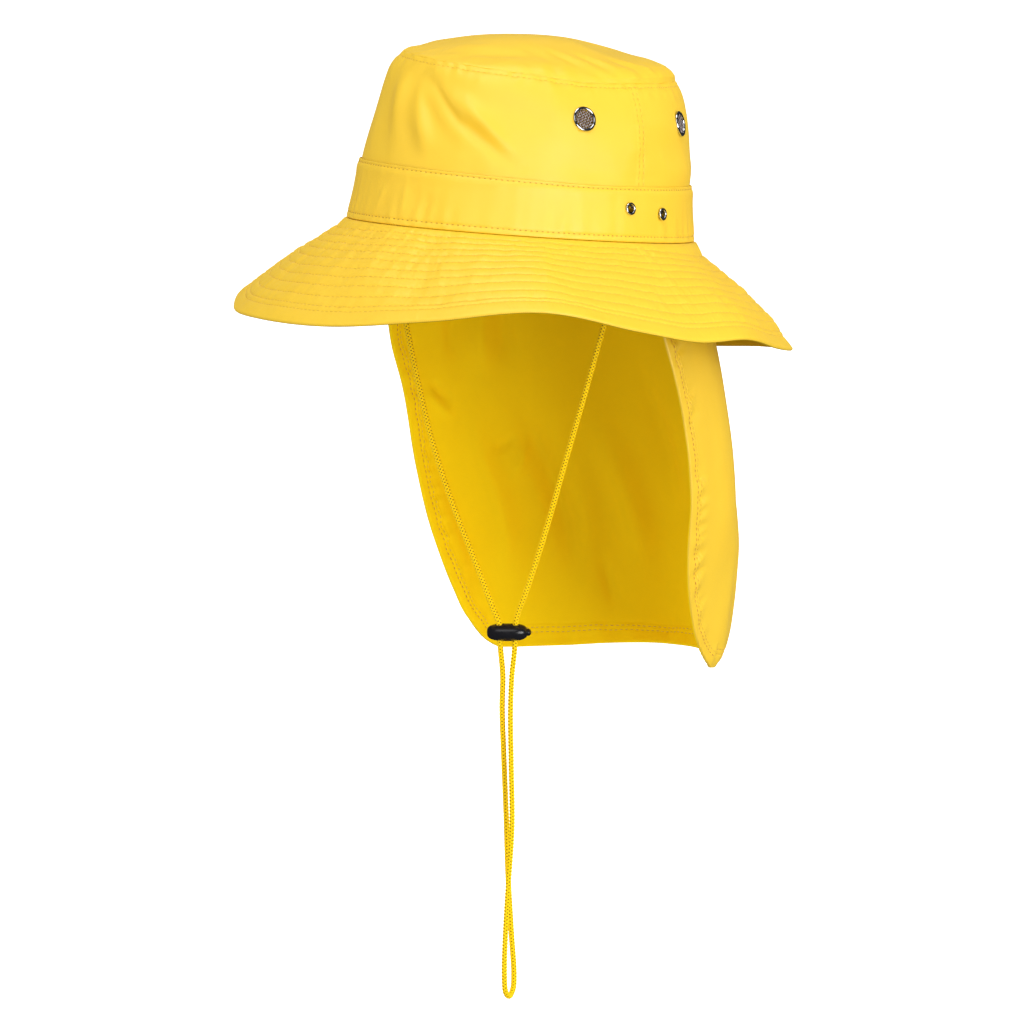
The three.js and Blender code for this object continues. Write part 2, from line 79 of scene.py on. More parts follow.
class Edge(Enum):
    """How a cloth wall ends."""

    SEWN = SEAM_SHARE
    ROUNDED = 0.0
    POLE = -1.0
    CLOSED = -2.0


# Small numeric helpers


def smoothstep(value: Array, low: float, high: float) -> Array:
    """Rises smoothly from 0 at low to 1 at high."""
    share = np.clip((value - low) / (high - low), 0, 1)
    return share * share * (3 - 2 * share)


def ridge(distance: Array, width: float) -> Array:
    """A soft ridge of height 1 round distance 0."""
    return np.exp(-((distance / width) ** 2))


def turn_between(start: float, angle: Array) -> Array:
    """The shortest way round from one angle to others, in degrees."""
    return (angle - start + 180) % 360 - 180


def unit(vectors: Array) -> Array:
    """Vectors of length 1, with +Z for those that have no length."""
    length = np.linalg.norm(vectors, axis=-1, keepdims=True)
    return np.where(length > 1e-7, vectors / np.maximum(length, 1e-7), np.array([0.0, 0.0, 1.0]))


def travelled(line: Array) -> Array:
    """The distance along a line from its first point to each of its points."""
    return np.concatenate([[0], np.cumsum(np.linalg.norm(np.diff(line, axis=0), axis=-1))])


def dense(start: float, end: float, step: float, marks: Sequence[float] = ()) -> Array:
    """Places from start to end, at most a step apart, with extra ones at each mark and close beside it.

    Args:
        start: the first place.
        end: the last place.
        step: the widest gap.
        marks: places that need a finer grid round them.

    Returns:
        The places in order.
    """
    places = list(np.linspace(start, end, max(2, round(abs(end - start) / step) + 1)))
    near = [mark + aside for mark in marks for aside in (-1.1, -0.6, -0.25, 0, 0.25, 0.6, 1.1)]
    low, high = min(start, end), max(start, end)
    marked = [place for place in near if low < place < high]
    spaced = [p for p in places if all(abs(p - mark) > 0.75 * step for mark in marked) or p in (start, end)]
    ordered = sorted({round(place, 4) for place in spaced + marked})
    return np.array(ordered if end > start else ordered[::-1])


@dataclass(frozen=True)
class Ripple:
    """The unevenness of cloth: a smooth seeded pattern with waves of about one length.

    The pattern stays within about -1 to 1.
    """

    wavelength: float
    seed: int
    waves: int = 16
    stretch: tuple[float, float, float] = (1, 1, 1)

    def at(self, points: Array) -> Array:
        """Reads the pattern.

        Args:
            points: places in millimetres, along the last axis.

        Returns:
            A height at each place.
        """
        rng = np.random.default_rng(self.seed)
        directions = unit(rng.normal(size=(self.waves, 3))) * np.array(self.stretch)
        turns = 2 * math.pi / (self.wavelength * rng.uniform(0.75, 1.4, self.waves))
        phases = rng.uniform(0, 2 * math.pi, self.waves)
        total = np.zeros(points.shape[:-1])
        for direction, turn, phase in zip(directions, turns, phases):
            total += np.cos(points @ (direction * turn) + phase)
        return total / math.sqrt(self.waves)


@dataclass(frozen=True)
class Crease:
    """A soft ridge, or a groove where its height is below zero, along a line over flattened cloth."""

    line: tuple[tuple[float, float], ...]
    width: float
    height: float

    def at(self, x: Array, y: Array, scale: float) -> Array:
        """Reads the crease.

        Args:
            x: the first coordinate of each place.
            y: the second, in millimetres.
            scale: millimetres in one unit of the first coordinate.

        Returns:
            The height at each place, fading towards both ends of the line.
        """
        knots = np.array(self.line, float) * np.array([scale, 1.0])
        lengths = np.linalg.norm(np.diff(knots, axis=0), axis=1)
        total, passed = lengths.sum(), 0.0
        nearest = np.full(x.shape, 1e9)
        along = np.zeros(x.shape)
        for start, end, length in zip(knots, knots[1:], lengths):
            step = (end - start) / length
            off_x, off_y = x * scale - start[0], y - start[1]
            reach = np.clip(off_x * step[0] + off_y * step[1], 0, length)
            gap = np.hypot(off_x - reach * step[0], off_y - reach * step[1])
            along = np.where(gap < nearest, passed + reach, along)
            nearest = np.minimum(gap, nearest)
            passed += length
        fade = smoothstep(along, 0, 0.4 * total) * smoothstep(total - along, 0, 0.4 * total)
        return self.height * ridge(nearest, self.width) * (0.12 + 0.88 * fade)


def creased(creases: Sequence[Crease], angle: Array, along: Array, radius: float) -> Array:
    """The height of several creases together, over degrees round a circle and millimetres across it."""
    scale = math.radians(radius)
    return sum(crease.at(angle, along, scale) for crease in creases)


class SmoothTable:
    """Numbers read smoothly between the rows of a table, as the solids' own tables are read."""

    def __init__(self, rows: Sequence[Sequence[float]], goes_round: bool = False) -> None:
        """Keeps the rows.

        Args:
            rows: the place of each row, followed by its values.
            goes_round: whether the places are angles all round the hat.
        """
        table = np.array(rows, float)
        if goes_round:
            turn = np.zeros(table.shape[1])
            turn[0] = 360
            table = np.vstack([table - turn, table, table + turn])
        self.places = table[:, 0]
        self.columns = table[:, 1:].T

    def at(self, place: Array) -> list[Array]:
        """Reads every column.

        Args:
            place: where to read the table.

        Returns:
            One array for each column.
        """
        places, last = self.places, len(self.places) - 1
        held = np.clip(place, places[0], places[-1])
        right = np.clip(np.searchsorted(places, held, side="right"), 1, last)
        left = right - 1
        before = np.where(left > 0, left - 1, right)
        after = np.where(right < last, right + 1, left)
        span = places[right] - places[left]
        p = (held - places[left]) / span
        share_before = span / 2 / (places[left] - places[before]) * (-(p**3) + 2 * p**2 - p)
        share_after = span / 2 / (places[after] - places[right]) * (p**3 - p**2)
        share_left = p**3 - 1.5 * p**2 - 0.5 * p + 1 - share_before
        share_right = -(p**3) + 1.5 * p**2 + 0.5 * p - share_after
        return [
            share_before * values[before]
            + share_left * values[left]
            + share_right * values[right]
            + share_after * values[after]
            for values in self.columns
        ]


@dataclass(frozen=True)
class Lean:
    """How far the hat leans back, front up, and the move from its own frame to the shared one."""

    degrees: float = 6.9

    def matrix(self) -> Matrix:
        """The turn about the X axis."""
        return Matrix.Rotation(-math.radians(self.degrees), 4, "X")

    def move(self, points: Array) -> Array:
        """Turns points or directions from the hat's frame to the shared frame."""
        return points @ np.array(self.matrix().to_3x3()).T


LEAN = Lean()


# Surfaces that cloth follows


class ClothSurface:
    """A face of the hat that cloth follows, by the angle round the hat and the place along the cloth."""

    facing = 1  # 1 where outwards is on the left hand of growing places, and -1 where it is on the right
    leans = True

    def point(self, angle: Array, place: Array) -> Array:
        """Gives the points of the surface in millimetres, in its own frame."""
        raise NotImplementedError

    def normal(self, angle: Array, place: Array) -> Array:
        """Gives the outward normals, with one shared normal at a seam or an edge, place 1.

        Args:
            angle: angles round the hat, in degrees.
            place: places along the cloth.

        Returns:
            Unit vectors.
        """
        level = np.where(np.abs(place - 1) < 0.005, 1.0, place)
        across = self.point(angle + 0.5, level) - self.point(angle - 0.5, level)
        along = self.point(angle, level + 0.004) - self.point(angle, level - 0.004)
        crossed = np.cross(across, along)
        flat = np.linalg.norm(crossed, axis=-1, keepdims=True) < 1e-4
        return np.where(flat, np.array([0.0, 0.0, 1.0]), unit(crossed) * self.facing)


@dataclass(frozen=True)
class CrownShape(ClothSurface):
    """The crown's outer face: place 0 is its foot, 1 the tip seam and 2 the top of the dome."""

    height: float = 104.5
    dome_fullness: float = 2.2
    edge_fullness: float = 18
    fold_radius: float = 92.6
    cloth: float = 1.5
    gap: float = 0.3
    # rise, half length, half width, shift to the back
    profile: SmoothTable = SmoothTable(
        [
            (0, 100.6, 85.1, 0), (0.34, 96.4, 81.8, 0.5), (0.5, 94.9, 80.2, 1.4), (0.7, 92.6, 76.8, 2.6),
            (0.86, 89.8, 72.4, 3.8), (0.95, 86.6, 68.8, 4.6), (1, 83.4, 65.6, 5.2),
        ]
    )
    # angle, height of the seam, steep first rise of the tip
    tip_seam: SmoothTable = SmoothTable(
        [
            (-90, 88, 1), (-46, 90.8, 0), (-15, 89, 0), (20, 86, 1), (45, 84, 2.5), (68, 82, 4),
            (90, 83, 5), (133, 84.6, 6.5), (180, 84.5, 5), (225, 86, 3),
        ],
        goes_round=True,
    )
    # angle, height, slant, reach along, reach across, depth
    folds: tuple[tuple[float, ...], ...] = (
        (-14, 66, 8, 26, 7, 1.4), (2, 62, 55, 34, 7, -2.2), (10, 70, 50, 26, 7, 1.2),
        (150, 52, 20, 30, 12, 1.6), (-140, 52, -30, 30, 9, -1.8),
    )

    def fold(self, angle: Array, height: Array) -> Array:
        """How far the soft folds bring the cloth out, in millimetres.

        Args:
            angle: angles round the hat.
            height: heights above the foot of the crown.

        Returns:
            The distance, inwards where it is below zero.
        """
        total = np.zeros(np.broadcast(angle, height).shape)
        for middle, level, slant, reach, width, depth in self.folds:
            aside = turn_between(middle, angle) * math.radians(self.fold_radius)
            above = height - level
            cos, sin = math.cos(math.radians(slant)), math.sin(math.radians(slant))
            along = above * cos - aside * sin
            across = above * sin + aside * cos
            total += depth * ridge(along, reach) * ridge(across, width)
        return total

    def point(self, angle: Array, place: Array) -> Array:
        """Gives the points of the crown's outer face.

        Args:
            angle: angles round the hat.
            place: places from the foot, 0, past the tip seam, 1, to the top, 2.

        Returns:
            Points in the leaning frame.
        """
        turn = np.radians(angle)
        seam, edge = self.tip_seam.at(angle % 360)
        rise = np.minimum(place, 1)
        inward = 2 - np.clip(place, 1, 2)
        length, width, back = self.profile.at(rise)
        fold = self.fold(angle, rise * seam)
        steep = edge * (1 - inward**self.edge_fullness)
        dome = (self.height - seam - edge) * (1 - inward**self.dome_fullness)
        x = (width + fold) * np.sin(turn) * inward
        y = -(length + fold) * np.cos(turn) * inward + back
        return np.stack([x, y, seam * rise + steep + dome], -1)

    def mark(self, angle: float, height: float) -> tuple[Array, Array]:
        """Finds a fitting's place on the crown.

        Args:
            angle: its angle round the hat.
            height: its height above the foot of the crown.

        Returns:
            The point and the outward normal.
        """
        seam, _ = self.tip_seam.at(np.array(angle % 360.0))
        place = height / seam
        where = np.array(float(angle))
        return self.point(where, place), self.normal(where, place)


@dataclass(frozen=True)
class BrimShape(ClothSurface):
    """The brim's upper face: place 0 is its inner edge under the crown, and 1 its outer edge."""

    crown: CrownShape = CrownShape()
    facing = -1
    seat: float = 2.9
    seat_share: float = 0.045
    drop_width: float = 0.08
    curl_angle: float = 118  # where the edge curls down and in
    curl_width: float = 22  # in degrees
    curl_in: float = 4.8
    curl_down: float = 1.7
    # angle, reach, fall, first drop, share of the mean slope at the start
    edge: SmoothTable = SmoothTable(
        [
            (-46, 56.4, 51.5, 1.6, 0.8), (-22, 58, 53, 1, 0.76), (4, 61.7, 51.7, 0, 0.7),
            (25, 67.2, 43.6, 0, 0.66), (45, 71.4, 34.4, 0, 0.62), (65, 66.2, 41.6, 0, 0.66),
            (81, 61.8, 46.1, 0, 0.7), (96, 62.4, 43.8, 1, 0.76), (112, 61.6, 48, 3, 0.78),
            (134, 60, 52.2, 4, 0.78), (154, 52, 55, 3, 0.78), (176, 43, 59.5, 1, 0.76),
            (200, 45, 57.5, 0, 0.7), (224, 52.5, 52, 0, 0.7), (248, 58.5, 47, 0, 0.7),
            (268, 62, 46, 0, 0.7), (290, 62.5, 44, 0.8, 0.76),
        ],
        goes_round=True,
    )

    def point(self, angle: Array, place: Array) -> Array:
        """Gives the points of the brim's upper face.

        Args:
            angle: angles round the hat.
            place: places from the inner edge, 0, to the outer edge, 1.

        Returns:
            Points in the leaning frame.
        """
        turn = np.radians(angle)
        reach, fall, drop, start = self.edge.at(angle % 360)
        length, width, _ = self.crown.profile.at(np.zeros_like(turn))
        half = self.crown.cloth / 2
        inner = np.stack([(width - half) * np.sin(turn), -(length - half) * np.cos(turn)], -1)
        outward = np.stack([np.sin(turn) / width, -np.cos(turn) / length], -1)
        outward /= np.linalg.norm(outward, axis=-1, keepdims=True)
        past = np.maximum(0, (place - self.seat_share) / (1 - self.seat_share))
        seated = self.seat * np.minimum(1, place / self.seat_share)
        flat = inner + outward * (seated + reach * past)[..., None]
        height = -self.crown.gap - drop * smoothstep(past, 0, self.drop_width)
        height = height - (fall - drop) * past * (start + (1 - start) * past)
        curl = ridge(turn_between(self.curl_angle, angle), self.curl_width) * smoothstep(past, 0.7, 1)
        flat = flat - outward * (self.curl_in * curl)[..., None]
        return np.concatenate([flat, (height - self.curl_down * curl)[..., None]], -1)


@dataclass(frozen=True)
class FlapShape(ClothSurface):
    """The neck flap's inner face, hung plumb: place 0 is its top edge and 1 its lower edge."""

    facing = -1
    leans = False
    margin: float = 10
    # place down, half width, half length, shift to the back, Y of the front edges
    plan: SmoothTable = SmoothTable(
        [
            (0, 80.4, 94.9, 1.2, 1.6), (0.04, 81.3, 96.1, 0, 1.2), (0.06, 81.7, 96.5, 0, 1),
            (0.12, 87.8, 100.5, 0.5, 0.5), (0.24, 95.5, 106.1, 2, 2), (0.32, 98.1, 109.5, 4, 7.4),
            (0.42, 97.9, 114.1, 7, 16.3), (0.6, 96.5, 121.8, 12, 25.6), (0.72, 91.1, 124.7, 17, 30),
            (0.8, 87.3, 122.9, 20, 35.2), (0.88, 84.7, 119.9, 22, 43.1), (0.94, 83.3, 114.4, 24, 51),
            (0.98, 82.3, 107.2, 25.5, 61), (1, 81.3, 100.8, 26, 70),
        ]
    )
    # angle, height of the lower edge
    hem: SmoothTable = SmoothTable(
        [
            (105, -237), (117, -240.6), (126, -243), (142, -243), (158, -242.6), (180, -244.4), (235, -248),
            (247, -246.6), (255, -242.5),
        ]
    )
    # angle, width and depth of the upright folds
    folds: tuple[tuple[float, ...], ...] = (
        (118, 9, 2.5), (150, 11, -1.8), (186, 10, 1.2), (218, 9, -2.2), (246, 8, 2.5),
    )
    drawn_in: tuple[float, float, float] = (128, 24, 2.4)  # the same, where the foot is drawn in

    def front_angle(self, place: Array) -> Array:
        """The angle of the front edge on the wearer's left, at places down the flap."""
        _, length, back, front = self.plan.at(place)
        return np.degrees(np.arccos((back - front) / length))

    def point(self, angle: Array, place: Array) -> Array:
        """Gives the points of the flap's inner face.

        Args:
            angle: angles round the hat.
            place: places from the top edge, 0, to the lower edge, 1.

        Returns:
            Points in the upright frame.
        """
        turn = np.radians(angle)
        width, length, back, _ = self.plan.at(np.clip(place, 0, 1))
        lean = math.radians(LEAN.degrees)
        fold = sum(depth * ridge(turn_between(middle, angle), across) for middle, across, depth in self.folds)
        fold = fold * smoothstep(place, 0.08, 0.6)
        middle, across, depth = self.drawn_in
        fold = fold - depth * ridge(angle - middle, across) * smoothstep(place, 0.72, 0.95)
        top = length * np.cos(turn) * math.sin(lean) + self.margin * math.cos(lean)
        (bottom,) = self.hem.at(angle)
        x = (width + fold) * np.sin(turn)
        y = -(length + fold) * np.cos(turn) + back
        return np.stack([x, y, top + (bottom - top) * place], -1)


# Cloth made into meshes


@dataclass(frozen=True)
class Hole:
    """A round hole through cloth, square to the crown."""

    centre: Array
    axis: Array
    radius: float
    depth: float = 12  # how far it reaches along its axis, each way

    def reach(self, points: Array) -> Array:
        """Measures how far points are from the hole's axis.

        Args:
            points: the points.

        Returns:
            The distances, far away for points on the hat's other side.
        """
        offset = points - self.centre
        along = offset @ self.axis
        aside = np.linalg.norm(offset - along[..., None] * self.axis, axis=-1)
        return np.where(np.abs(along) < self.depth, aside, 1e6)

    def snap(self, points: Array) -> Array:
        """Moves points straight out from the axis, or in, to the hole's radius.

        Args:
            points: the points.

        Returns:
            The moved points.
        """
        offset = points - self.centre
        along = (offset @ self.axis)[..., None] * self.axis
        return self.centre + along + unit(offset - along) * self.radius


@dataclass
class ClothSheet:
    """One piece of cloth over a surface, on a grid of rows (places) and columns (angles)."""

    surface: ClothSurface
    angle: Array
    place: Array
    ring: bool = False
    start: Edge = Edge.ROUNDED
    end: Edge = Edge.ROUNDED
    sides: Edge = Edge.ROUNDED
    roundness: float = 1.0
    hole_margin: float = 1.6  # corners this near to a hole's edge are moved onto it
    points: Array = field(init=False)
    normals: Array = field(init=False)

    def __post_init__(self) -> None:
        """Reads the surface once for the whole grid."""
        self.points = self.surface.point(self.angle, self.place)
        self.normals = self.surface.normal(self.angle, self.place)

    def down(self) -> Array:
        """Millimetres from the first row, along each column."""
        steps = np.linalg.norm(np.diff(self.points, axis=0), axis=-1)
        return np.vstack([np.zeros((1, steps.shape[1])), np.cumsum(steps, axis=0)])

    def across(self) -> Array:
        """Millimetres from the first column, along each row."""
        steps = np.linalg.norm(np.diff(self.points, axis=1), axis=-1)
        return np.hstack([np.zeros((steps.shape[0], 1)), np.cumsum(steps, axis=1)])

    def fullness(self) -> Array:
        """The share of its thickness that the cloth has, less at its ends, which it rounds off.

        Returns:
            A share at each corner of the grid.
        """
        down = self.down()
        share = np.ones_like(down)
        ends = [(self.start, down), (self.end, down[-1] - down)]
        if not self.ring:
            across = self.across()
            ends += [(self.sides, across), (self.sides, across[:, -1:] - across)]
        for edge, distance in ends:
            if edge in (Edge.SEWN, Edge.ROUNDED):
                near = np.clip(distance / self.roundness, 0, 1)
                arc = np.sqrt(1 - (1 - near) ** 2)
                share = np.minimum(share, edge.value + (1 - edge.value) * arc)
        return share

    def wrapped(self) -> Array:
        """The numbers of the grid's columns, with the first again at the end of a ring."""
        columns = self.place.shape[1]
        return np.arange(columns + int(self.ring)) % columns

    def build(
        self,
        name: str,
        thickness: float,
        middle: float,
        relief: dict[Side, Array | float],
        holes: Sequence[Hole] = (),
    ) -> Piece:
        """Makes the wall's mesh.

        Args:
            name: the piece's name.
            thickness: the cloth's thickness in millimetres.
            middle: how far outwards the middle of the cloth is from the surface.
            relief: how far each face is raised from its plain place.
            holes: round holes through the cloth.

        Returns:
            The finished object, with its UV map in millimetres.
        """
        rows, columns = self.place.shape
        half = self.fullness() * thickness / 2
        outer = self.points + self.normals * (middle + half + relief[Side.OUTER])[..., None]
        inner = self.points + self.normals * (middle - half - relief[Side.INNER])[..., None]
        corners = np.stack([outer.reshape(-1, 3), inner.reshape(-1, 3)])

        vertex_of = (np.arange(rows)[:, None] * columns + self.wrapped()).ravel()
        at = np.arange(vertex_of.size).reshape(rows, -1)
        quads = np.stack([at[:-1, :-1], at[:-1, 1:], at[1:, 1:], at[1:, :-1]], -1)
        centres = corners[0][vertex_of[quads]].mean(axis=-2)
        kept = np.ones(quads.shape[:2], bool)
        for hole in holes:
            kept &= hole.reach(centres) > hole.radius

        framed = np.pad(kept, 1)
        if self.ring:
            framed[:, 0], framed[:, -1] = framed[:, -2], framed[:, 1]
        if self.end is Edge.POLE:
            framed[-1] = framed[-2]
        rims = self._rims(framed, at)
        for hole in holes:
            marked = np.unique(vertex_of[rims])
            marked = marked[hole.reach(corners[0][marked]) < hole.radius + self.hole_margin]
            corners[:, marked] = hole.snap(corners[:, marked])

        plain = quads[kept]
        ids = np.concatenate([plain, plain[:, ::-1], rims[:, [1, 0, 0, 1]]])
        face = np.zeros(ids.shape, int)
        face[len(plain) : 2 * len(plain)] = 1
        face[2 * len(plain) :, 2:] = 1
        if self.surface.facing < 0:
            ids, face = ids[:, ::-1], face[:, ::-1]
        vertices = vertex_of[ids] + face * rows * columns
        world = corners.reshape(-1, 3)
        if self.surface.leans:
            world = LEAN.move(world)
        inside = (face == Side.INNER.value).all(axis=1)
        return mesh_object(name, world * MM, vertices, self._flat()[ids], inside.astype(int))

    def _rims(self, framed: Array, at: Array) -> Array:
        """Finds the grid edges between cloth and no cloth.

        Args:
            framed: which quads are cloth, with one more row or column on each side.
            at: the corner numbers of the grid.

        Returns:
            Pairs of corner numbers, in the order that the cloth's own face has them.
        """
        left, right = framed[1:-1, :-1], framed[1:-1, 1:]
        low, high = at[:-1], at[1:]
        if self.ring:
            left, right, low, high = (grid[:, :-1] for grid in (left, right, low, high))
        ends = left & ~right
        starts = right & ~left
        below, above = framed[:-1, 1:-1], framed[1:, 1:-1]
        near, far = at[:, :-1], at[:, 1:]
        tops = below & ~above
        feet = above & ~below
        return np.concatenate(
            [
                np.stack([low[ends], high[ends]], -1),
                np.stack([high[starts], low[starts]], -1),
                np.stack([far[tops], near[tops]], -1),
                np.stack([near[feet], far[feet]], -1),
            ]
        )

    def _flat(self) -> Array:
        """Lays the cloth flat, roughly.

        Returns:
            A UV place in millimetres for each corner number.
        """
        columns = self.wrapped()
        if self.end is Edge.POLE:
            return self.points[:, columns, :2].reshape(-1, 2)
        along = travelled(self.points[len(self.points) // 2, columns])
        down = self.down()[:, columns]
        return np.stack([np.broadcast_to(along, down.shape), down], -1).reshape(-1, 2)


# Meshes


def linked(name: str, data: bpy.types.ID) -> Piece:
    """Makes an object and links it to the scene.

    Args:
        name: its name.
        data: its mesh, camera or light.

    Returns:
        The object.
    """
    thing = bpy.data.objects.new(name, data)
    bpy.context.scene.collection.objects.link(thing)
    return thing


@contextmanager
def reshaped(mesh: Mesh) -> Iterator[bmesh.types.BMesh]:
    """Opens a mesh for changes and keeps them.

    Args:
        mesh: the mesh.

    Yields:
        Its editable copy.
    """
    shell = bmesh.new()
    shell.from_mesh(mesh)
    yield shell
    shell.to_mesh(mesh)
    shell.free()


def turned_outwards(piece: Piece, filled: bool = False) -> Piece:
    """Turns a closed piece's faces outwards.

    Args:
        piece: the piece.
        filled: whether open holes in it are closed first.

    Returns:
        The same piece.
    """
    with reshaped(piece.data) as shell:
        if filled:
            bmesh.ops.holes_fill(shell, edges=[edge for edge in shell.edges if edge.is_boundary])
        bmesh.ops.recalc_face_normals(shell, faces=shell.faces)
    return piece


def evaluated_mesh(piece: Piece) -> Mesh:
    """Makes a plain mesh of what an object's modifiers show.

    Args:
        piece: the object.

    Returns:
        The mesh.
    """
    bpy.context.view_layer.update()
    evaluated = piece.evaluated_get(bpy.context.evaluated_depsgraph_get())
    return bpy.data.meshes.new_from_object(evaluated)


def mesh_object(
    name: str, points: Array, faces: Array, uvs: Array | None = None, finishes: Array | None = None
) -> Piece:
    """Makes a smooth mesh object of quads, with corners that meet merged.

    Args:
        name: the object's name.
        points: corners in metres.
        faces: four corner numbers a face.
        uvs: a UV place for each corner of each face.
        finishes: the number of each face's material.

    Returns:
        The object, linked to the scene.
    """
    mesh = bpy.data.meshes.new(name)
    mesh.vertices.add(len(points))
    mesh.vertices.foreach_set("co", np.ascontiguousarray(points, np.float32).ravel())
    mesh.loops.add(faces.size)
    mesh.loops.foreach_set("vertex_index", np.ascontiguousarray(faces, np.int32).ravel())
    mesh.polygons.add(len(faces))
    mesh.polygons.foreach_set("loop_start", np.arange(0, faces.size, 4, dtype=np.int32))
    mesh.update(calc_edges=True)
    if uvs is not None:
        layer = mesh.uv_layers.new(name=UV_NAME)
        layer.data.foreach_set("uv", np.ascontiguousarray(uvs, np.float32).ravel())
    if finishes is not None:
        mesh.polygons.foreach_set("material_index", np.ascontiguousarray(finishes, np.int32))
    with reshaped(mesh) as shell:
        bmesh.ops.delete(shell, geom=[v for v in shell.verts if not v.link_faces], context="VERTS")
        bmesh.ops.remove_doubles(shell, verts=shell.verts, dist=5e-6)
        bmesh.ops.dissolve_degenerate(shell, edges=shell.edges, dist=2e-6)
        for face in shell.faces:
            face.smooth = True
    mesh.validate()
    return linked(name, mesh)


def tube_faces(rings: int, sides: int, closed: bool = False) -> Array:
    """Joins rings of corners into a tube.

    Args:
        rings: how many rings there are.
        sides: how many corners a ring has.
        closed: whether the last ring joins the first.

    Returns:
        Four corner numbers a face.
    """
    ring, column = np.mgrid[0 : rings if closed else rings - 1, 0:sides]
    this, following = ring * sides, (ring + 1) % rings * sides
    beside = (column + 1) % sides
    return np.stack([this + column, this + beside, following + beside, following + column], -1).reshape(-1, 4)


def turned_shell(profile: Outline, sides: int, closed: bool = False) -> Shell:
    """Turns a profile round the Z axis.

    Args:
        profile: radius and height of each point, in millimetres, anticlockwise as seen from the front.
        sides: how many sides the round shape has.
        closed: whether the profile's last point joins its first.

    Returns:
        Corners in millimetres and faces of four corners.
    """
    radius, height = np.array(profile, float).T[..., None]
    turn = np.arange(sides) / sides * 2 * math.pi
    corners = np.stack([radius * np.cos(turn), radius * np.sin(turn), height + 0 * turn], -1)
    return corners.reshape(-1, 3), tube_faces(len(profile), sides, closed)


def to_place(points: Array, centre: Array, normal: Array) -> Array:
    """Moves a fitting made round +Z to its place and normal on the leaning crown, and to metres."""
    turn = np.array(Vector((0, 0, 1)).rotation_difference(Vector(normal)).to_matrix())
    return LEAN.move(points @ turn.T + centre) * MM


def settle(
    piece: Piece, finish: Material | Sequence[Material], slot: str, *nodes: str, body: str = HAT_BODY
) -> None:
    """Gives a piece its finish and its body, and hides the solids that it stands for.

    Args:
        piece: the finished piece.
        finish: its material, or the materials of its outer and inner faces.
        slot: not used.
        nodes: the solids that it replaces.
        body: the body that it rides on.
    """
    for material in [finish] if isinstance(finish, Material) else finish:
        if not any(kept == material for kept in piece.data.materials):
            piece.data.materials.append(material)
    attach(piece, body)
    if nodes:
        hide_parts(*nodes)
    log.info("%s: %d faces", piece.name, len(piece.data.polygons))


# Finishes


class NodeWriter:
    """Adds nodes to a tree and joins them."""

    def __init__(self, tree: bpy.types.NodeTree) -> None:
        """Keeps the tree."""
        self.tree = tree

    def add(self, kind: str, inputs: dict | None = None, **settings: object) -> bpy.types.Node:
        """Adds a node.

        Args:
            kind: the node's type.
            inputs: for each input, another node's output or a plain value.
            settings: properties of the node.

        Returns:
            The new node.
        """
        node = self.tree.nodes.new(kind)
        for key, value in settings.items():
            setattr(node, key, value)
        for key, value in (inputs or {}).items():
            if isinstance(value, Socket):
                self.tree.links.new(value, node.inputs[key])
            else:
                node.inputs[key].default_value = value
        return node

    def maths(self, operation: str, *values: object) -> Socket:
        """One arithmetic node's output."""
        return self.add("ShaderNodeMath", dict(enumerate(values)), operation=operation).outputs[0]

    def vector(self, **parts: object) -> Socket:
        """A vector of the given parts X, Y and Z, and 0 for the others."""
        return self.add("ShaderNodeCombineXYZ", parts).outputs[0]

    def spread(self, value: Socket, low: float, high: float, start: float = 0, end: float = 1) -> Socket:
        """A value stretched from the range start to end, over the range low to high."""
        inputs = {"Value": value, "From Min": start, "From Max": end, "To Min": low, "To Max": high}
        return self.add("ShaderNodeMapRange", inputs).outputs["Result"]


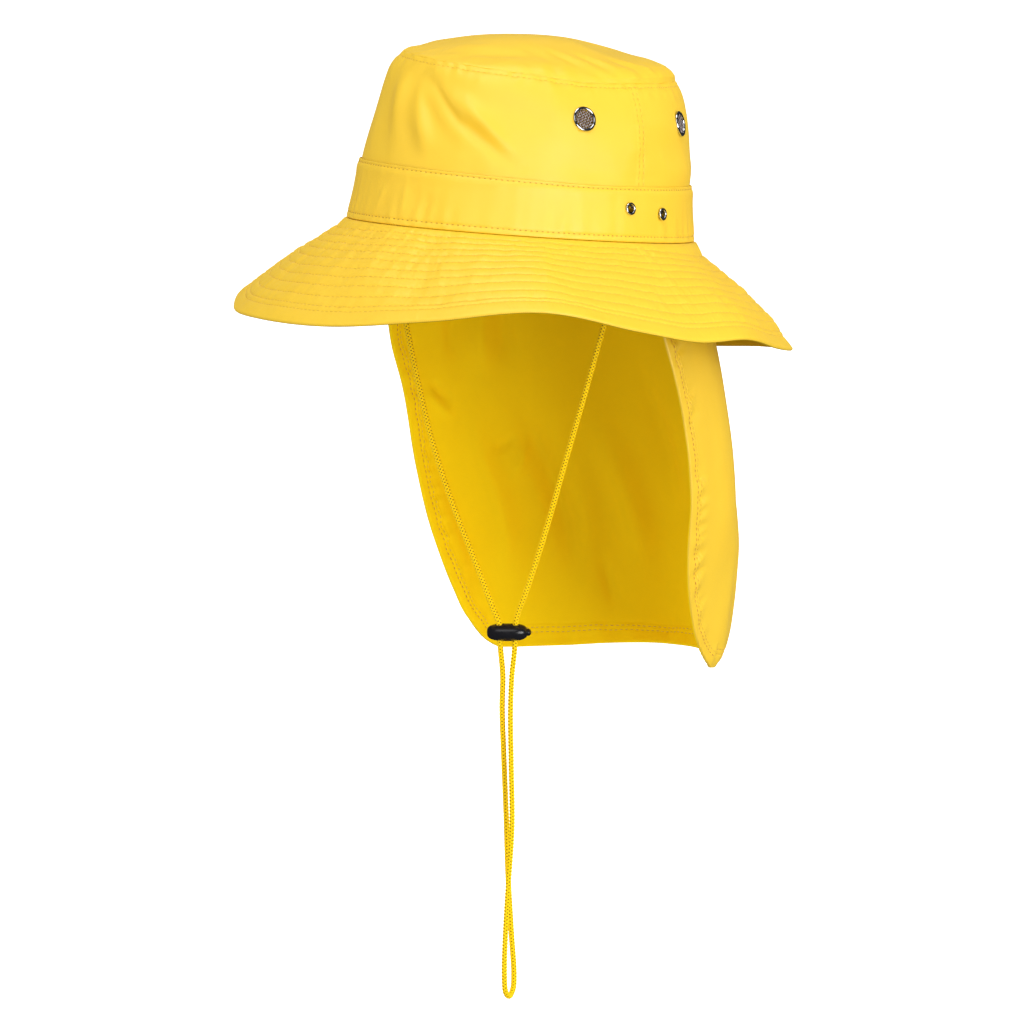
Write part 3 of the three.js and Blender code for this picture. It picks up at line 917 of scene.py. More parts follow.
class ShaderWriter(NodeWriter):
    """Writes a material: a Principled shader, and the procedural nodes that vary it."""

    def __init__(self, name: str, plain: dict[str, float] | None = None) -> None:
        """Starts the material.

        Args:
            name: the material's name.
            plain: constant values of the shader's inputs.
        """
        self.material = bpy.data.materials.new(name)
        self.material.use_nodes = True
        super().__init__(self.material.node_tree)
        self.inputs = next(node for node in self.tree.nodes if node.type == "BSDF_PRINCIPLED").inputs
        for label, value in (plain or {}).items():
            self.inputs[label].default_value = value

    def noise(self, scale: float, detail: float, roughness: float = 0.5, at: Socket | None = None) -> Socket:
        """Noise over the object's own coordinates, or over another place.

        Args:
            scale: how fine it is.
            detail: how many finer layers it has.
            roughness: how strong those are.
            at: the place, where it isn't the object's own.

        Returns:
            A value from 0 to 1.
        """
        if at is None:
            at = self.add("ShaderNodeTexCoord").outputs["Object"]
        inputs = {"Vector": at, "Scale": scale, "Detail": detail, "Roughness": roughness}
        return self.add("ShaderNodeTexNoise", inputs).outputs["Fac"]

    def stretched(self, at: Socket, scale: tuple[float, float, float]) -> Socket:
        """A place scaled along each axis."""
        return self.add("ShaderNodeMapping", {"Vector": at, "Scale": scale}).outputs["Vector"]

    def tone(self, share: Socket, dark: Colour, light: Colour) -> Socket:
        """A colour from dark, at 0, to light, at 1."""
        inputs = {"Factor": share, "A": (*dark, 1.0), "B": (*light, 1.0)}
        return self.add("ShaderNodeMix", inputs, data_type="RGBA").outputs["Result"]

    def relief(self, height: Socket, strength: float, depth: float, over: Socket | None = None) -> Socket:
        """Fine relief, too low for the mesh.

        Args:
            height: its height, from 0 to 1.
            strength: how much of it shows.
            depth: its full height in millimetres.
            over: the relief that it lies on.

        Returns:
            The normal.
        """
        inputs = {"Height": height, "Strength": strength, "Distance": depth * MM}
        if over is not None:
            inputs["Normal"] = over
        return self.add("ShaderNodeBump", inputs).outputs["Normal"]

    def finish(
        self, colour: Socket, roughness: Socket | None = None, normal: Socket | None = None
    ) -> Material:
        """Joins what varies to the shader.

        Args:
            colour: the colour.
            roughness: the roughness, where it varies.
            normal: the normal, where there is relief.

        Returns:
            The material.
        """
        for label, source in (("Base Color", colour), ("Roughness", roughness), ("Normal", normal)):
            if source is not None:
                self.tree.links.new(source, self.inputs[label])
        return self.material


@dataclass(frozen=True)
class CottonCloth:
    """Washed cotton twill, with its diagonal rib, uneven yarns and soft blotches."""

    light: Colour = (0.93, 0.605, 0.014)
    deep: Colour = (0.895, 0.55, 0.004)
    # the inner face's colour; every maker of the cloth replaces it: darker than the face as painted shade in
    # the crown, band and brim, and lighter as painted light in the neck flap
    back: Colour = (0.93, 0.655, 0.004)
    roughness: float = 0.52
    unevenness: float = 0.06  # of the roughness
    sheen: float = 0.02
    gloss: float = 1.0
    rib: float = 0.62  # millimetres from rib to rib
    band_period: float = 0.444  # of Blender's diagonal bands, measured square to them
    weave_depth: float = 0.12
    wrinkle: float = 0.0  # depth of fine puckers, in millimetres

    def pair(self, name: str) -> list[Material]:
        """Makes the materials of the cloth's outer face and of its duller inner face, coloured back; main
        sets back darker than the face as painted shade, and lighter in the neck flap as painted light.

        Args:
            name: the start of the materials' names.

        Returns:
            The two materials.
        """
        deep = tuple(0.94 * part for part in self.back)
        back = replace(self, light=self.back, deep=deep, roughness=0.92, sheen=0.0, gloss=0.12)
        return [self.material(f"{name}_face"), back.material(f"{name}_back")]

    def material(self, name: str) -> Material:
        """Makes the material of one face, on the UV map in millimetres.

        Args:
            name: the material's name.

        Returns:
            The material.
        """
        plain = {"Sheen Weight": self.sheen, "Sheen Roughness": 0.4, "Specular IOR Level": self.gloss}
        nodes = ShaderWriter(name, plain)
        flat = nodes.add("ShaderNodeUVMap", uv_map=UV_NAME).outputs["UV"]
        blotches = nodes.tone(nodes.noise(32, 4, 0.55), self.deep, self.light)
        bands = {"Vector": flat, "Scale": self.band_period / self.rib, "Distortion": 1.2, "Detail": 1.0}
        twill = nodes.add("ShaderNodeTexWave", bands, bands_direction="DIAGONAL").outputs["Fac"]
        yarns = nodes.noise(1, 3, at=nodes.stretched(flat, (0.35, 2.4, 1.0)))
        # The weave darkens the colour where its ribs are low: painted shade in the twill's grooves, together
        # with the yarns' own uneven tone.
        weave = nodes.maths("MULTIPLY", twill, yarns)
        shaded = {"Factor": 1.0, "A": blotches, "B": nodes.spread(weave, 0.93, 1.02, end=0.6)}
        colour = nodes.add("ShaderNodeMix", shaded, data_type="RGBA", blend_type="MULTIPLY").outputs["Result"]
        dullness = nodes.spread(yarns, self.roughness - self.unevenness, self.roughness + self.unevenness)
        puckers = nodes.noise(1, 2, at=nodes.stretched(flat, (0.3, 0.11, 1.0)))
        soft = nodes.relief(puckers, 1.0, self.wrinkle)
        return nodes.finish(colour, dullness, nodes.relief(weave, 0.5, self.weave_depth, soft))


@dataclass(frozen=True)
class Thread:
    """Twisted sewing thread."""

    light: Colour
    dark: Colour

    def material(self, name: str) -> Material:
        """Makes the thread's material."""
        nodes = ShaderWriter(name, {"Roughness": 0.6, "Sheen Weight": 0.2})
        return nodes.finish(nodes.tone(nodes.noise(900, 2), self.dark, self.light))


@dataclass(frozen=True)
class BraidYarn:
    """The cord's braided yarn, with painted shade between its strands."""

    light: Colour = (1.0, 0.66, 0.002)
    # painted shade, for the gaps between the strands
    dark: Colour = (0.22, 0.085, 0.0)
    between: float = 0.36  # strand height that is fully dark
    on_top: float = 0.68  # strand height that is fully light

    def material(self, name: str) -> Material:
        """Makes the cord's material, from the height of its strands: low places get painted shade.

        Args:
            name: the material's name.

        Returns:
            The material.
        """
        nodes = ShaderWriter(name, {"Roughness": 0.75, "Specular IOR Level": 0.2})
        depth = nodes.add("ShaderNodeAttribute", attribute_name=STRAND_NAME, attribute_type="GEOMETRY")
        fibre = nodes.noise(1600, 3)
        # strand height with fibre noise: painted shade in the gaps, with the fibres' own tone
        blend = nodes.maths("MULTIPLY_ADD", fibre, 0.25, depth.outputs["Fac"])
        share = nodes.spread(blend, 0, 1, self.between, self.on_top)
        return nodes.finish(nodes.tone(share, self.dark, self.light), normal=nodes.relief(fibre, 0.5, 0.05))


@dataclass(frozen=True)
class Metal:
    """Bright metal trim, with fine handling marks."""

    colour: Colour
    worn: Colour
    smooth: float
    rough: float

    def material(self, name: str) -> Material:
        """Makes the metal's material.

        Args:
            name: the material's name.

        Returns:
            The material.
        """
        nodes = ShaderWriter(name, {"Metallic": 1.0})
        marks = nodes.noise(700, 4)
        dullness = nodes.spread(marks, self.rough, self.smooth)
        return nodes.finish(nodes.tone(marks, self.worn, self.colour), dullness)


@dataclass(frozen=True)
class MouldedPlastic:
    """Glossy black moulded plastic, with a trace of orange peel."""

    light: Colour = (0.013, 0.0125, 0.016)
    dark: Colour = (0.007, 0.007, 0.009)
    smooth: float = 0.16
    rough: float = 0.3

    def material(self, name: str) -> Material:
        """Makes the plastic's material.

        Args:
            name: the material's name.

        Returns:
            The material.
        """
        nodes = ShaderWriter(name)
        peel = nodes.noise(420, 3)
        gloss = nodes.spread(peel, self.smooth, self.rough)
        return nodes.finish(nodes.tone(peel, self.dark, self.light), gloss, nodes.relief(peel, 0.25, 0.04))


# Repeated work laid along lines by Geometry Nodes


class NodePattern(NodeWriter):
    """A Geometry Nodes tree with named lengths as inputs, run once on a mesh and kept as a plain mesh."""

    def __init__(self, name: str, *lengths: str) -> None:
        """Starts the tree.

        Args:
            name: the tree's name.
            lengths: the names of its inputs, besides the geometry and the material.
        """
        super().__init__(bpy.data.node_groups.new(name, "GeometryNodeTree"))
        face = self.tree.interface
        for way in ("OUTPUT", "INPUT"):
            face.new_socket("Geometry", in_out=way, socket_type="NodeSocketGeometry")
        kinds = {**dict.fromkeys(lengths, "NodeSocketFloat"), "Material": "NodeSocketMaterial"}
        self.keys = {
            label: face.new_socket(label, in_out="INPUT", socket_type=kind).identifier
            for label, kind in kinds.items()
        }
        self.given = self.add("NodeGroupInput").outputs

    def normals(self) -> Socket:
        """The surface's normal that lines_mesh keeps at each point."""
        kept = self.add("GeometryNodeInputNamedAttribute", {"Name": NORMAL_NAME}, data_type="FLOAT_VECTOR")
        return kept.outputs["Attribute"]

    def instances(self, **inputs: object) -> Socket:
        """A piece laid on each point."""
        return self.add("GeometryNodeInstanceOnPoints", inputs).outputs["Instances"]

    def finish(self, geometry: Socket) -> None:
        """Ends the tree with real, smooth geometry and its material.

        Args:
            geometry: what the tree has made, instances among it.
        """
        real = self.add("GeometryNodeRealizeInstances", {"Geometry": geometry}).outputs[0]
        smooth = self.add("GeometryNodeSetShadeSmooth", {"Geometry": real}).outputs[0]
        inputs = {"Geometry": smooth, "Material": self.given["Material"]}
        dressed = self.add("GeometryNodeSetMaterial", inputs).outputs[0]
        self.add("NodeGroupOutput", {"Geometry": dressed})

    def run(self, name: str, base: Mesh, finish: Material, **lengths: float) -> Piece:
        """Runs the tree on a mesh and keeps the result as a plain mesh.

        Args:
            name: the finished piece's name.
            base: the mesh that the tree starts from.
            finish: the material.
            lengths: a value in millimetres for each named length.

        Returns:
            The finished object, with no modifier.
        """
        carrier = linked(name + "_lines", base)
        modifier = carrier.modifiers.new("pattern", "NODES")
        modifier.node_group = self.tree
        modifier[self.keys["Material"]] = finish
        for label, length in lengths.items():
            modifier[self.keys[label]] = length * MM
        mesh = evaluated_mesh(carrier)
        bpy.data.objects.remove(carrier)
        return linked(name, mesh)


def lines_mesh(name: str, lines: Sequence[Path]) -> Mesh:
    """Makes a mesh of edges along lines, with the surface's normal kept at each point.

    Args:
        name: the mesh's name.
        lines: points in metres, normals, and whether the line is closed.

    Returns:
        The mesh.
    """
    edges, count = [], 0
    for line, _, closed in lines:
        numbers = np.arange(len(line)) + count
        edges += np.stack([numbers[:-1], numbers[1:]], -1).tolist()
        if closed:
            edges.append([numbers[-1], numbers[0]])
        count += len(line)
    mesh = bpy.data.meshes.new(name)
    mesh.from_pydata(np.concatenate([line for line, _, _ in lines]).tolist(), edges, [])
    kept = mesh.attributes.new(NORMAL_NAME, "FLOAT_VECTOR", "POINT")
    normals = np.concatenate([normal for _, normal, _ in lines])
    kept.data.foreach_set("vector", normals.astype(np.float32).ravel())
    return mesh


class StitchPattern(NodePattern):
    """Stitches at an even pitch along lines, each a small rounded bar that lies in the cloth's face."""

    def __init__(self) -> None:
        """Builds the tree."""
        super().__init__("stitch_rows", "Pitch", "Length", "Width", "Height")
        add, given = self.add, self.given
        curves = add("GeometryNodeMeshToCurve", {"Mesh": given["Geometry"]}).outputs["Curve"]
        spaced = {"Curve": curves, "Length": given["Pitch"]}
        points = add("GeometryNodeResampleCurve", spaced, mode="LENGTH").outputs["Curve"]
        stitch = add("GeometryNodeMeshUVSphere", {"Segments": 6, "Rings": 4, "Radius": 0.5}).outputs["Mesh"]
        axes = {
            "Primary Axis": add("GeometryNodeInputTangent").outputs["Tangent"],
            "Secondary Axis": self.normals(),
        }
        turn = add("FunctionNodeAxesToRotation", axes, primary_axis="X", secondary_axis="Z").outputs[0]
        size = self.vector(X=given["Length"], Y=given["Width"], Z=given["Height"])
        self.finish(self.instances(Points=points, Instance=stitch, Rotation=turn, Scale=size))


@dataclass(frozen=True)
class Stitch:
    """The size of one kind of stitch, in millimetres."""

    pitch: float = 3.0
    length: float = 2.2
    width: float = 0.5
    height: float = 0.42


@dataclass(frozen=True)
class Needle:
    """Sews rows of stitches with one thread."""

    pattern: StitchPattern
    thread: Material
    reach: float = 12  # how far from a path the cloth may be
    lift: float = 0.04  # how far the stitches' middle stands off the cloth

    def sew(self, name: str, cloth: Piece, stitch: Stitch, paths: Sequence[Path]) -> None:
        """Lays rows of stitches on a finished piece of cloth.

        Args:
            name: the stitches' name.
            cloth: the finished cloth.
            stitch: the stitches' size.
            paths: for each row, points clear of the cloth and the directions to it.
        """
        shell = bmesh.new()
        shell.from_mesh(cloth.data)
        tree = BVHTree.FromBMesh(shell)
        lines, reach = [], self.reach * MM
        for path, ways, closed in paths:
            found = [tree.ray_cast(Vector(point), Vector(way), reach) for point, way in zip(path, ways)]
            landed = [hit for hit in found if hit[0] is not None]
            places, normals = (np.array([hit[part] for hit in landed]) for part in (0, 1))
            lines.append((places + normals * self.lift * MM, normals, closed and len(landed) == len(path)))
        shell.free()
        sizes = {label.title(): size for label, size in asdict(stitch).items()}
        piece = self.pattern.run(name, lines_mesh(name, lines), self.thread, **sizes)
        settle(piece, self.thread, "cotton")


def curve_path(
    surface: ClothSurface, angle: Array | float, place: Array | float, lift: float, closed: bool = False
) -> Path:
    """Points beside a piece of cloth along a line of angles and places.

    Args:
        surface: the surface that the cloth follows.
        angle: angles along the line, or one for all of it.
        place: places along the line, or one for all of it.
        lift: how far outwards from the surface the points are.
        closed: whether the line is closed.

    Returns:
        Points in metres, the directions from them to the cloth, and whether the line is closed.
    """
    angle, place = np.broadcast_arrays(angle, place)
    normal = surface.normal(angle, place)
    points = (surface.point(angle, place) + normal * lift) * MM
    ways = -normal * math.copysign(1, lift)
    return (LEAN.move(points), LEAN.move(ways), closed) if surface.leans else (points, ways, closed)


# Sub-assemblies


@dataclass
class ChinCord:
    """The braided chin cord, from one side of the hat down through the lock, round its loop and back up."""

    diameter: float = 3.2
    sides: int = 16
    step: float = 0.2
    braid_pitch: float = 1.9
    strands: int = 3
    strand_height: float = 0.5
    tapered_end: float = 0.8
    curve_steps: int = 40
    route: tuple[tuple[float, float, float], ...] = (
        (-79.4, -9.9, 13), (-80.8, -11.2, 1), (-80.2, -11.4, -14), (-76.8, -11.4, -34), (-71.4, -11.4, -57),
        (-63.5, -11.4, -86), (-53.4, -11.5, -118), (-39.2, -11.8, -150), (-22, -12.6, -181),
        (-8.2, -13.8, -205), (-3.5, -14.2, -213), (-3.3, -14.2, -219), (-3.2, -13.2, -228),
        (-2.8, -11.9, -242), (-2.9, -12.3, -260), (-3.2, -10.6, -286), (-3.7, -8, -320), (-3.5, -6.6, -354),
        (-2.6, -4.9, -386), (-1.9, -3.6, -408), (-1.3, -5, -416.4), (0, -9.6, -419.6), (1.3, -14.4, -416.4),
        (1.9, -16.2, -407), (2.6, -16.3, -386), (3.4, -14.6, -356), (3.7, -11.9, -324), (3.2, -12, -290),
        (2.8, -12.1, -262), (2.8, -11, -242), (3.2, -9.2, -228), (3.3, -8.6, -218), (4.1, -8.7, -211),
        (13, -9.3, -191), (26, -10, -159), (40, -10.6, -120), (54, -11, -81), (67.4, -11.4, -43),
        (76.6, -11.4, -18), (80.8, -11.2, 1), (79.4, -9.9, 13),
    )  # fmt: skip

    def centreline(self) -> Array:
        """Makes the cord's middle line, a centripetal Catmull-Rom curve through the route.

        Returns:
            Points in millimetres, an even step apart.
        """
        knots = np.array(self.route, float)
        padded = np.vstack([2 * knots[0] - knots[1], knots, 2 * knots[-1] - knots[-2]])
        fine = []
        for p0, p1, p2, p3 in zip(padded, padded[1:], padded[2:], padded[3:]):
            t1 = np.linalg.norm(p1 - p0) ** 0.5
            t2 = t1 + np.linalg.norm(p2 - p1) ** 0.5
            t3 = t2 + np.linalg.norm(p3 - p2) ** 0.5
            t = np.linspace(t1, t2, self.curve_steps, endpoint=False)[:, None]
            a1 = (t1 - t) / t1 * p0 + t / t1 * p1
            a2 = (t2 - t) / (t2 - t1) * p1 + (t - t1) / (t2 - t1) * p2
            a3 = (t3 - t) / (t3 - t2) * p2 + (t - t2) / (t3 - t2) * p3
            b1 = (t2 - t) / t2 * a1 + t / t2 * a2
            b2 = (t3 - t) / (t3 - t1) * a2 + (t - t1) / (t3 - t1) * a3
            fine.append((t2 - t) / (t2 - t1) * b1 + (t - t1) / (t2 - t1) * b2)
        line = np.vstack([*fine, knots[-1:]])
        length = travelled(line)
        even = np.linspace(0, length[-1], round(length[-1] / self.step) + 1)
        return np.stack([np.interp(even, length, line[:, axis]) for axis in range(3)], -1)

    def braid(self, along: Array, turn: Array) -> Array:
        """Reads how high the braid's strands stand, from 0 between them to 1 on top.

        Args:
            along: millimetres along the cord.
            turn: angles round it.

        Returns:
            The height at each place.
        """
        phase = 2 * math.pi * along / self.braid_pitch
        left = np.cos(self.strands * turn + phase)
        right = np.cos(self.strands * turn - phase)
        gaps = np.clip(-(left + right) / 2, 0, 1) ** 0.8
        return 1 - gaps - 0.18 * (1 - np.maximum(left, right)) * (1 - gaps)

    def tube(self, line: Array) -> Piece:
        """Makes the braided tube, with its strands' height kept at each corner.

        Args:
            line: the cord's middle line.

        Returns:
            The tube, closed at both ends.
        """
        count, sides = len(line), self.sides
        tangent = unit(np.gradient(line, axis=0))
        frames = np.zeros((count, 2, 3))
        side = unit(np.cross(tangent[0], [0.0, 1.0, 0.0]))
        for i, way in enumerate(tangent):
            side = unit(side - (side @ way) * way)
            frames[i] = side, np.cross(way, side)
        along = np.arange(count)[:, None] * self.step
        turn = np.arange(sides)[None] / sides * 2 * math.pi
        height = self.braid(along, turn)
        radius = self.diameter / 2 - self.strand_height * (1 - height)
        taper = np.minimum(1, np.minimum(along, along[::-1]) / self.tapered_end + 0.02)
        ring = np.cos(turn)[..., None] * frames[:, None, 0] + np.sin(turn)[..., None] * frames[:, None, 1]
        points = line[:, None] + ring * (radius * taper)[..., None]
        corners = np.concatenate([points.reshape(-1, 3), line[[0, -1]]])
        first = np.arange(sides)
        beside = (first + 1) % sides
        tail, middle = (count - 1) * sides, np.full(sides, count * sides)
        faces = tube_faces(count, sides).tolist()
        for cap in ((middle, beside, first), (middle + 1, tail + first, tail + beside)):
            faces += np.stack(cap, -1).tolist()
        mesh = bpy.data.meshes.new("chin_cord_braid")
        mesh.from_pydata((corners * MM).tolist(), [], faces)
        kept = mesh.attributes.new(STRAND_NAME, "FLOAT", "POINT")
        kept.data.foreach_set("value", np.append(height, [0.5, 0.5]).astype(np.float32))
        mesh.polygons.foreach_set("use_smooth", [True] * len(mesh.polygons))
        return turned_outwards(linked("chin_cord_braid", mesh))

    def build(self, yarn: BraidYarn, with_pieces: Sequence[Piece]) -> None:
        """Args:
            yarn: the cord's finish.
            with_pieces: the pieces on the cord; not used.
        """
        line = self.centreline()
        piece = self.tube(line)
        settle(piece, yarn.material("chin_cord_braid"), "cord", "chin_cord")
        list(with_pieces)


@dataclass
class CordLock:
    """The black cord lock: its rounded body with two cord holes, and the button that slides in its end."""

    centre: tuple[float, float, float] = (0, -11.4, -218)
    turn_degrees: float = 40
    half_length: float = 11
    half_depth: float = 5.2
    half_height: float = 4.75
    fullness: float = 3
    hole_offset: float = 4.3
    hole_radius: float = 2.2
    hole_flare: float = 0.55
    flare_depth: float = 1.6
    button_half_depth: float = 2.85
    button_half_height: float = 2
    button_proud: float = 1.9
    button_dome: float = 1.6
    button_travel: float = 1.5
    clearance: float = 0.3
    cord_room: float = 1.9  # half the cord's width and its clearance
    sharp_degrees: float = 35  # faces that turn by more than this meet in a sharp edge

    def bar(self, profile: Outline, depth: float, height: float, sides: int) -> Shell:
        """A bar along X, from places along it with their shares of a half depth and a half height."""
        corners, faces = turned_shell([(share, along) for along, share in profile], sides)
        return np.stack([corners[:, 2], corners[:, 0] * depth, corners[:, 1] * height], -1), faces

    def shape(self, name: str, part: Shell) -> Piece:
        """Makes a closed object of a shell in the lock's own frame.

        Args:
            name: the object's name.
            part: corners in millimetres and faces.

        Returns:
            The object, in its place.
        """
        corners, faces = part
        turn = np.array(Matrix.Rotation(math.radians(self.turn_degrees), 3, "Z"))
        placed = (corners @ turn.T + np.array(self.centre)) * MM
        return turned_outwards(mesh_object(name, placed, faces), filled=True)

    def cut(self, piece: Piece, tools: Sequence[Piece]) -> None:
        """Cuts shapes out of a piece, removes them and shades the piece smooth between its sharp edges.

        Args:
            piece: what is cut.
            tools: the shapes.
        """
        for tool in tools:
            modifier = piece.modifiers.new("cut", "BOOLEAN")
            modifier.operation = "DIFFERENCE"
            modifier.solver = "EXACT"
            modifier.object = tool
        mesh = evaluated_mesh(piece)
        piece.modifiers.clear()
        piece.data = mesh
        for tool in tools:
            bpy.data.objects.remove(tool)
        sharp = math.radians(self.sharp_degrees)
        with reshaped(mesh) as shell:
            for face in shell.faces:
                face.smooth = True
            for edge in shell.edges:
                edge.smooth = len(edge.link_faces) == 2 and edge.calc_face_angle(0) < sharp

    def drill(self, side: int) -> Piece:
        """Makes the tool for one cord hole, flared at both ends.

        Args:
            side: -1 or 1, which hole it is.

        Returns:
            The tool.
        """
        face, radius, flare = self.half_height, self.hole_radius, self.hole_flare
        wide = radius + 3 * flare
        profile = [(0, -3 * face), (wide, -3 * face)]
        for level in np.linspace(-face, face, 17):
            edge = max(0.0, (abs(level) - face + self.flare_depth) / self.flare_depth)
            profile.append((radius + flare * edge**2, float(level)))
        corners, faces = turned_shell([*profile, (wide, 3 * face), (0, 3 * face)], 28)
        corners[:, 0] += side * self.hole_offset
        return self.shape("drill", (corners, faces))

    def slot(self, side: int) -> Piece:
        """Makes the tool for the slot that lets a cord pass the button at both ends of its travel.

        Args:
            side: -1 or 1, which cord it is.

        Returns:
            The tool.
        """
        half = np.linspace(-math.pi / 2, math.pi / 2, 9)
        turn = np.concatenate([half, half + math.pi])
        shift = side * self.hole_offset + np.repeat([self.button_travel, 0], len(half))
        flat = np.stack([self.cord_room * np.cos(turn) + shift, self.cord_room * np.sin(turn)], -1)
        levels = (-4 * self.button_half_height, 4 * self.button_half_height)
        corners = np.concatenate([np.column_stack([flat, np.full(len(flat), level)]) for level in levels])
        return self.shape("slot", (corners, tube_faces(2, len(flat))))

    def body(self, finish: Material) -> Piece:
        """Makes the body, with its cord holes and the button's bore.

        Args:
            finish: its material.

        Returns:
            The body.
        """
        along = -np.cos(np.linspace(0, math.pi, 33))
        share = (1 - np.abs(along) ** self.fullness) ** (1 / self.fullness)
        share[[0, -1]] = 0
        profile = [(float(a) * self.half_length, float(s)) for a, s in zip(along, share)]
        body = self.shape("cord_lock_shell", self.bar(profile, self.half_depth, self.half_height, 48))
        start, end = -self.hole_offset - self.cord_room - 3.2, 2 * self.half_length
        bore = [(start, 0), (start, 0.8), (start + 0.8, 1), (end, 1), (end, 0)]
        reach = (self.button_half_depth + self.clearance, self.button_half_height + self.clearance)
        tools = [self.drill(-1), self.drill(1), self.shape("bore", self.bar(bore, *reach, 36))]
        self.cut(body, tools)
        settle(body, finish, "plastic", "cord_lock_body")
        return body

    def button(self, finish: Material) -> Piece:
        """Makes the button, with a domed end and a slot for each cord.

        Args:
            finish: its material.

        Returns:
            The button.
        """
        start = -self.hole_offset - self.cord_room - 1.1
        dome_start = self.half_length + self.button_proud - self.button_dome
        turns = np.linspace(0, math.pi / 2, 9)
        dome = [(dome_start + self.button_dome * math.sin(t), math.cos(t)) for t in turns]
        profile = [(start, 0), (start, 0.72), (start + 0.4, 0.94), (start + 0.8, 1), *dome]
        bar = self.bar(profile, self.button_half_depth, self.button_half_height, 40)
        button = self.shape("cord_lock_push", bar)
        self.cut(button, [self.slot(-1), self.slot(1)])
        settle(button, finish, "plastic", "cord_lock_button", body=BUTTON_BODY)
        return button

    def build(self, plastic: MouldedPlastic) -> list[Piece]:
        """Makes the body and the button."""
        finish = plastic.material("lock_plastic")
        return [self.body(finish), self.button(finish)]


